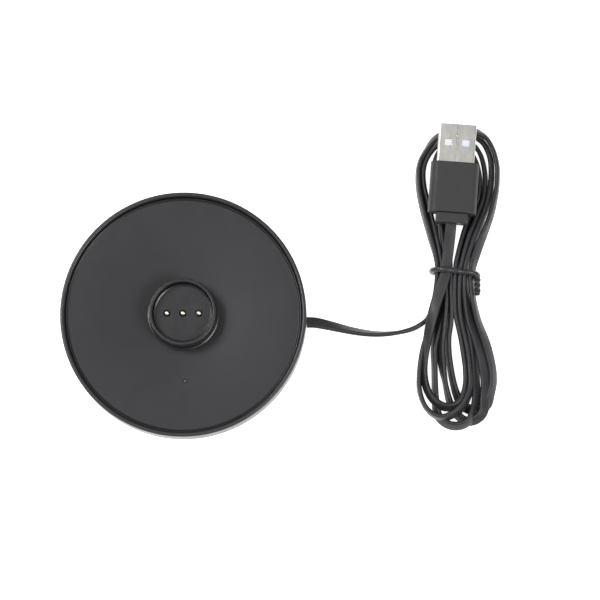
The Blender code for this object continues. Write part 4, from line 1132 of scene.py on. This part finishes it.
def make_shell():
    w, h = SHELL_WIDTH / 2, SHELL_HEIGHT / 2
    shell = block("usb_folded_shell", (-w, -SHELL_SEATED, -h), (w, SHELL_LENGTH, h), 0.62 * MM, axis=1)
    iw, ih = w - SHELL_WALL, h - SHELL_WALL
    start, end = SHELL_CUT
    cutters = [block("hollow", (-iw, start, -ih), (iw, end, ih), 0.34 * MM, axis=1)]
    a, b = WINDOW_SIZE[0] / 2, WINDOW_SIZE[1] / 2
    for k, x in enumerate((-WINDOW_OFFSET, WINDOW_OFFSET)):
        low = (x - a, WINDOW_MIDDLE - b, -WINDOW_CUT)
        high = (x + a, WINDOW_MIDDLE + b, WINDOW_CUT)
        cutters.append(block(f"window_{k}", low, high, 0.12 * MM, axis=2, segments=3))
    low = (-SEAM_HALF_WIDTH, start, h - SEAM_DEPTH)
    high = (SEAM_HALF_WIDTH, end, h + CUT_PAST)
    cutters.append(block("seam", low, high))
    combine(shell, cutters, "DIFFERENCE")
    soften_edges(shell, 0.05 * MM)
    into_place(shell)
    return add_piece(shell, "nickel", "usb_nickel", "usb_shell")


def make_dovetail():
    """The interlocking tab where the shell's seam is held, a shallow plate in its own outline."""
    y = SHELL_LENGTH - TAB_FROM_END
    z = SHELL_HEIGHT / 2 - TAB_SUNK
    shape = bmesh.new()
    face = shape.faces.new([shape.verts.new((u * MM, y + v * MM, z)) for u, v in TAB_OUTLINE])
    made = bmesh.ops.extrude_face_region(shape, geom=[face])
    lifted = [g for g in made["geom"] if isinstance(g, bmesh.types.BMVert)]
    bmesh.ops.translate(shape, vec=(0, 0, TAB_THICKNESS), verts=lifted)
    tab = object_from_bmesh("usb_seam_tab", shape)
    soften_edges(tab, 0.03 * MM)
    into_place(tab)
    return add_piece(tab, "nickel", "usb_nickel")


def make_tongue():
    low = (-TONGUE_HALF_WIDTH, -SHELL_SEATED, TONGUE_HEIGHTS[0])
    high = (TONGUE_HALF_WIDTH, TONGUE_END, TONGUE_HEIGHTS[1])
    tongue = block("usb_tongue", low, high, 0.25 * MM, axis=1, edge=0.10 * MM)
    grooves = [
        block(
            f"groove_{k}",
            (x * MM - GROOVE_HALF_WIDTH, GROOVE_START, -CUT_PAST),
            (x * MM + GROOVE_HALF_WIDTH, GROOVE_END, GROOVE_TOP),
        )
        for k, x in enumerate(CONTACT_PLACES)
    ]
    smooth(combine(tongue, grooves, "DIFFERENCE"))
    into_place(tongue)
    return add_piece(tongue, "tongue", "usb_plastic", "usb_insulator")


def make_contacts():
    """Blades along the grooves, each lifted a little at its tip."""
    found = []
    w, t = BLADE_HALF
    for k, x in enumerate(CONTACT_PLACES):
        tip = OUTER_TIP if k in (0, 3) else INNER_TIP
        path = [
            (x * MM, -0.0035, -0.05 * MM),
            (x * MM, 0.0, -0.05 * MM),
            (x * MM, tip - 1.6 * MM, -0.06 * MM),
            (x * MM, tip - 0.6 * MM, -0.02 * MM),
            (x * MM, tip, 0.06 * MM),
        ]
        places = spline(path, spacing=BLADE_SPACING)
        blade = swept(f"usb_blade_{k + 1}", places, [(w, t), (-w, t), (-w, -t), (w, -t)])
        soften_edges(blade, 0.04 * MM)
        into_place(blade)
        found.append(add_piece(blade, "gilt", "gilt", f"usb_contact_{k + 1}"))
    return found


def make_grip():
    width, length, height = GRIP_SIZE
    low = (-width / 2, -length, -height / 2)
    high = (width / 2, 0, height / 2)
    grip = block("usb_grip", low, high, 2.6 * MM, axis=1, segments=14)
    w, h = SHELL_WIDTH / 2 + GRIP_CLEARANCE, SHELL_HEIGHT / 2 + GRIP_CLEARANCE
    seat = block("seat", (-w, -SHELL_SEATED - 0.0003, -h), (w, 0.002, h), 0.65 * MM, axis=1)
    a, b, c = GRIP_SOCKET
    socket = block("socket", (-a, -length - 0.002, -c), (a, -length + b, c))
    combine(grip, [seat, socket], "DIFFERENCE")
    soften_edges(grip, 0.30 * MM, segments=3)
    into_place(grip)
    return add_piece(grip, "overmould", "overmould_black", "usb_overmould")


def make_relief():
    width, length, height = RELIEF_SIZE
    rear = -GRIP_SIZE[1] - RELIEF_GAP
    low = (-width / 2, rear - length, -height / 2)
    high = (width / 2, rear, height / 2)
    relief = block("usb_lead_relief", low, high, 1.0 * MM, axis=1, segments=8)
    a, b, c = RELIEF_TONGUE
    tongue = block("tongue", (-a, rear - CUT_PAST, -c), (a, rear + b, c))
    combine(relief, [tongue], "UNION")
    way = block(
        "lead_way",
        (-CORD_WIDTH / 2 - LEAD_CLEARANCE, rear - length - CUT_PAST, -CORD_THICKNESS / 2 - LEAD_CLEARANCE),
        (CORD_WIDTH / 2 + LEAD_CLEARANCE, rear - length + LEAD_SEATED, CORD_THICKNESS / 2 + LEAD_CLEARANCE),
        0.5 * MM,
        axis=1,
    )
    combine(relief, [way], "DIFFERENCE")
    soften_edges(relief, 0.22 * MM, segments=3)
    into_place(relief)
    return add_piece(relief, "overmould", "overmould_black", "usb_strain_relief")


PLUG_PIECES = [make_shell(), make_dovetail(), make_tongue(), *make_contacts(), make_grip(), make_relief()]


# ---------------- pieces inside the dock, as in the CAD

KEPT = {
    "magnet": ("magnet_rear", "magnet_front"),
    "board": ("circuit_board",),
    "led": ("indicator_led",),
    "zinc": (
        "ballast_plate", "board_screw_left", "board_screw_right", "clamp_screw_rear", "clamp_screw_front",
    ),
    "plate": ("cable_clamp",),
    "cord": ("cable_tail",),
    "wire_red": ("wire_red",),
    "wire_white": ("wire_white",),
    "wire_black": ("wire_black",),
}
for look, nodes in KEPT.items():
    for node in nodes:
        dress(NODES[node], look)


# ---------------- floor and light

SCENE_MIDDLE = (0.04, 0.0, 0.0)
FLOOR_HALF_SIDE = 1.5

# Each softbox: where it stands, its side in metres and its power in watts
SOFTBOXES = {
    "softbox_left": ((-0.55, 0.20, 0.93), 0.45, 6.4),
    "softbox_right": ((0.60, -0.33, 0.91), 0.42, 6.4),
    "softbox_over": ((0.00, 0.15, 1.40), 0.9, 1.3),
}
WORLD_STRENGTH = 0.24


def make_floor():
    shape = bmesh.new()
    bmesh.ops.create_grid(shape, x_segments=1, y_segments=1, size=FLOOR_HALF_SIDE)
    floor = object_from_bmesh("floor", shape)
    floor.location = SCENE_MIDDLE
    material = bpy.data.materials.new("floor_white")
    material.use_nodes = True
    shader = material.node_tree.nodes["Principled BSDF"]
    shader.inputs["Base Color"].default_value = (0.93, 0.93, 0.93, 1)
    shader.inputs["Roughness"].default_value = 0.9
    shader.inputs["Specular IOR Level"].default_value = 0.1
    shader.inputs["Emission Color"].default_value = (1, 1, 1, 1)
    shader.inputs["Emission Strength"].default_value = 1.0
    floor.data.materials.append(material)


def make_light():
    for name, (at, side, power) in SOFTBOXES.items():
        data = bpy.data.lights.new(name, "AREA")
        data.shape = "RECTANGLE"
        data.size = data.size_y = side
        data.energy = power
        light = link(bpy.data.objects.new(name, data))
        light.location = at
        light.rotation_euler = (Vector(SCENE_MIDDLE) - Vector(at)).to_track_quat("-Z", "Y").to_euler()
    world = bpy.data.worlds.new("studio")
    bpy.context.scene.world = world
    world.use_nodes = True
    background = world.node_tree.nodes["Background"]
    background.inputs["Color"].default_value = (1, 1, 1, 1)
    background.inputs["Strength"].default_value = WORLD_STRENGTH
    bpy.context.scene.view_settings.view_transform = "Standard"


make_floor()
make_light()
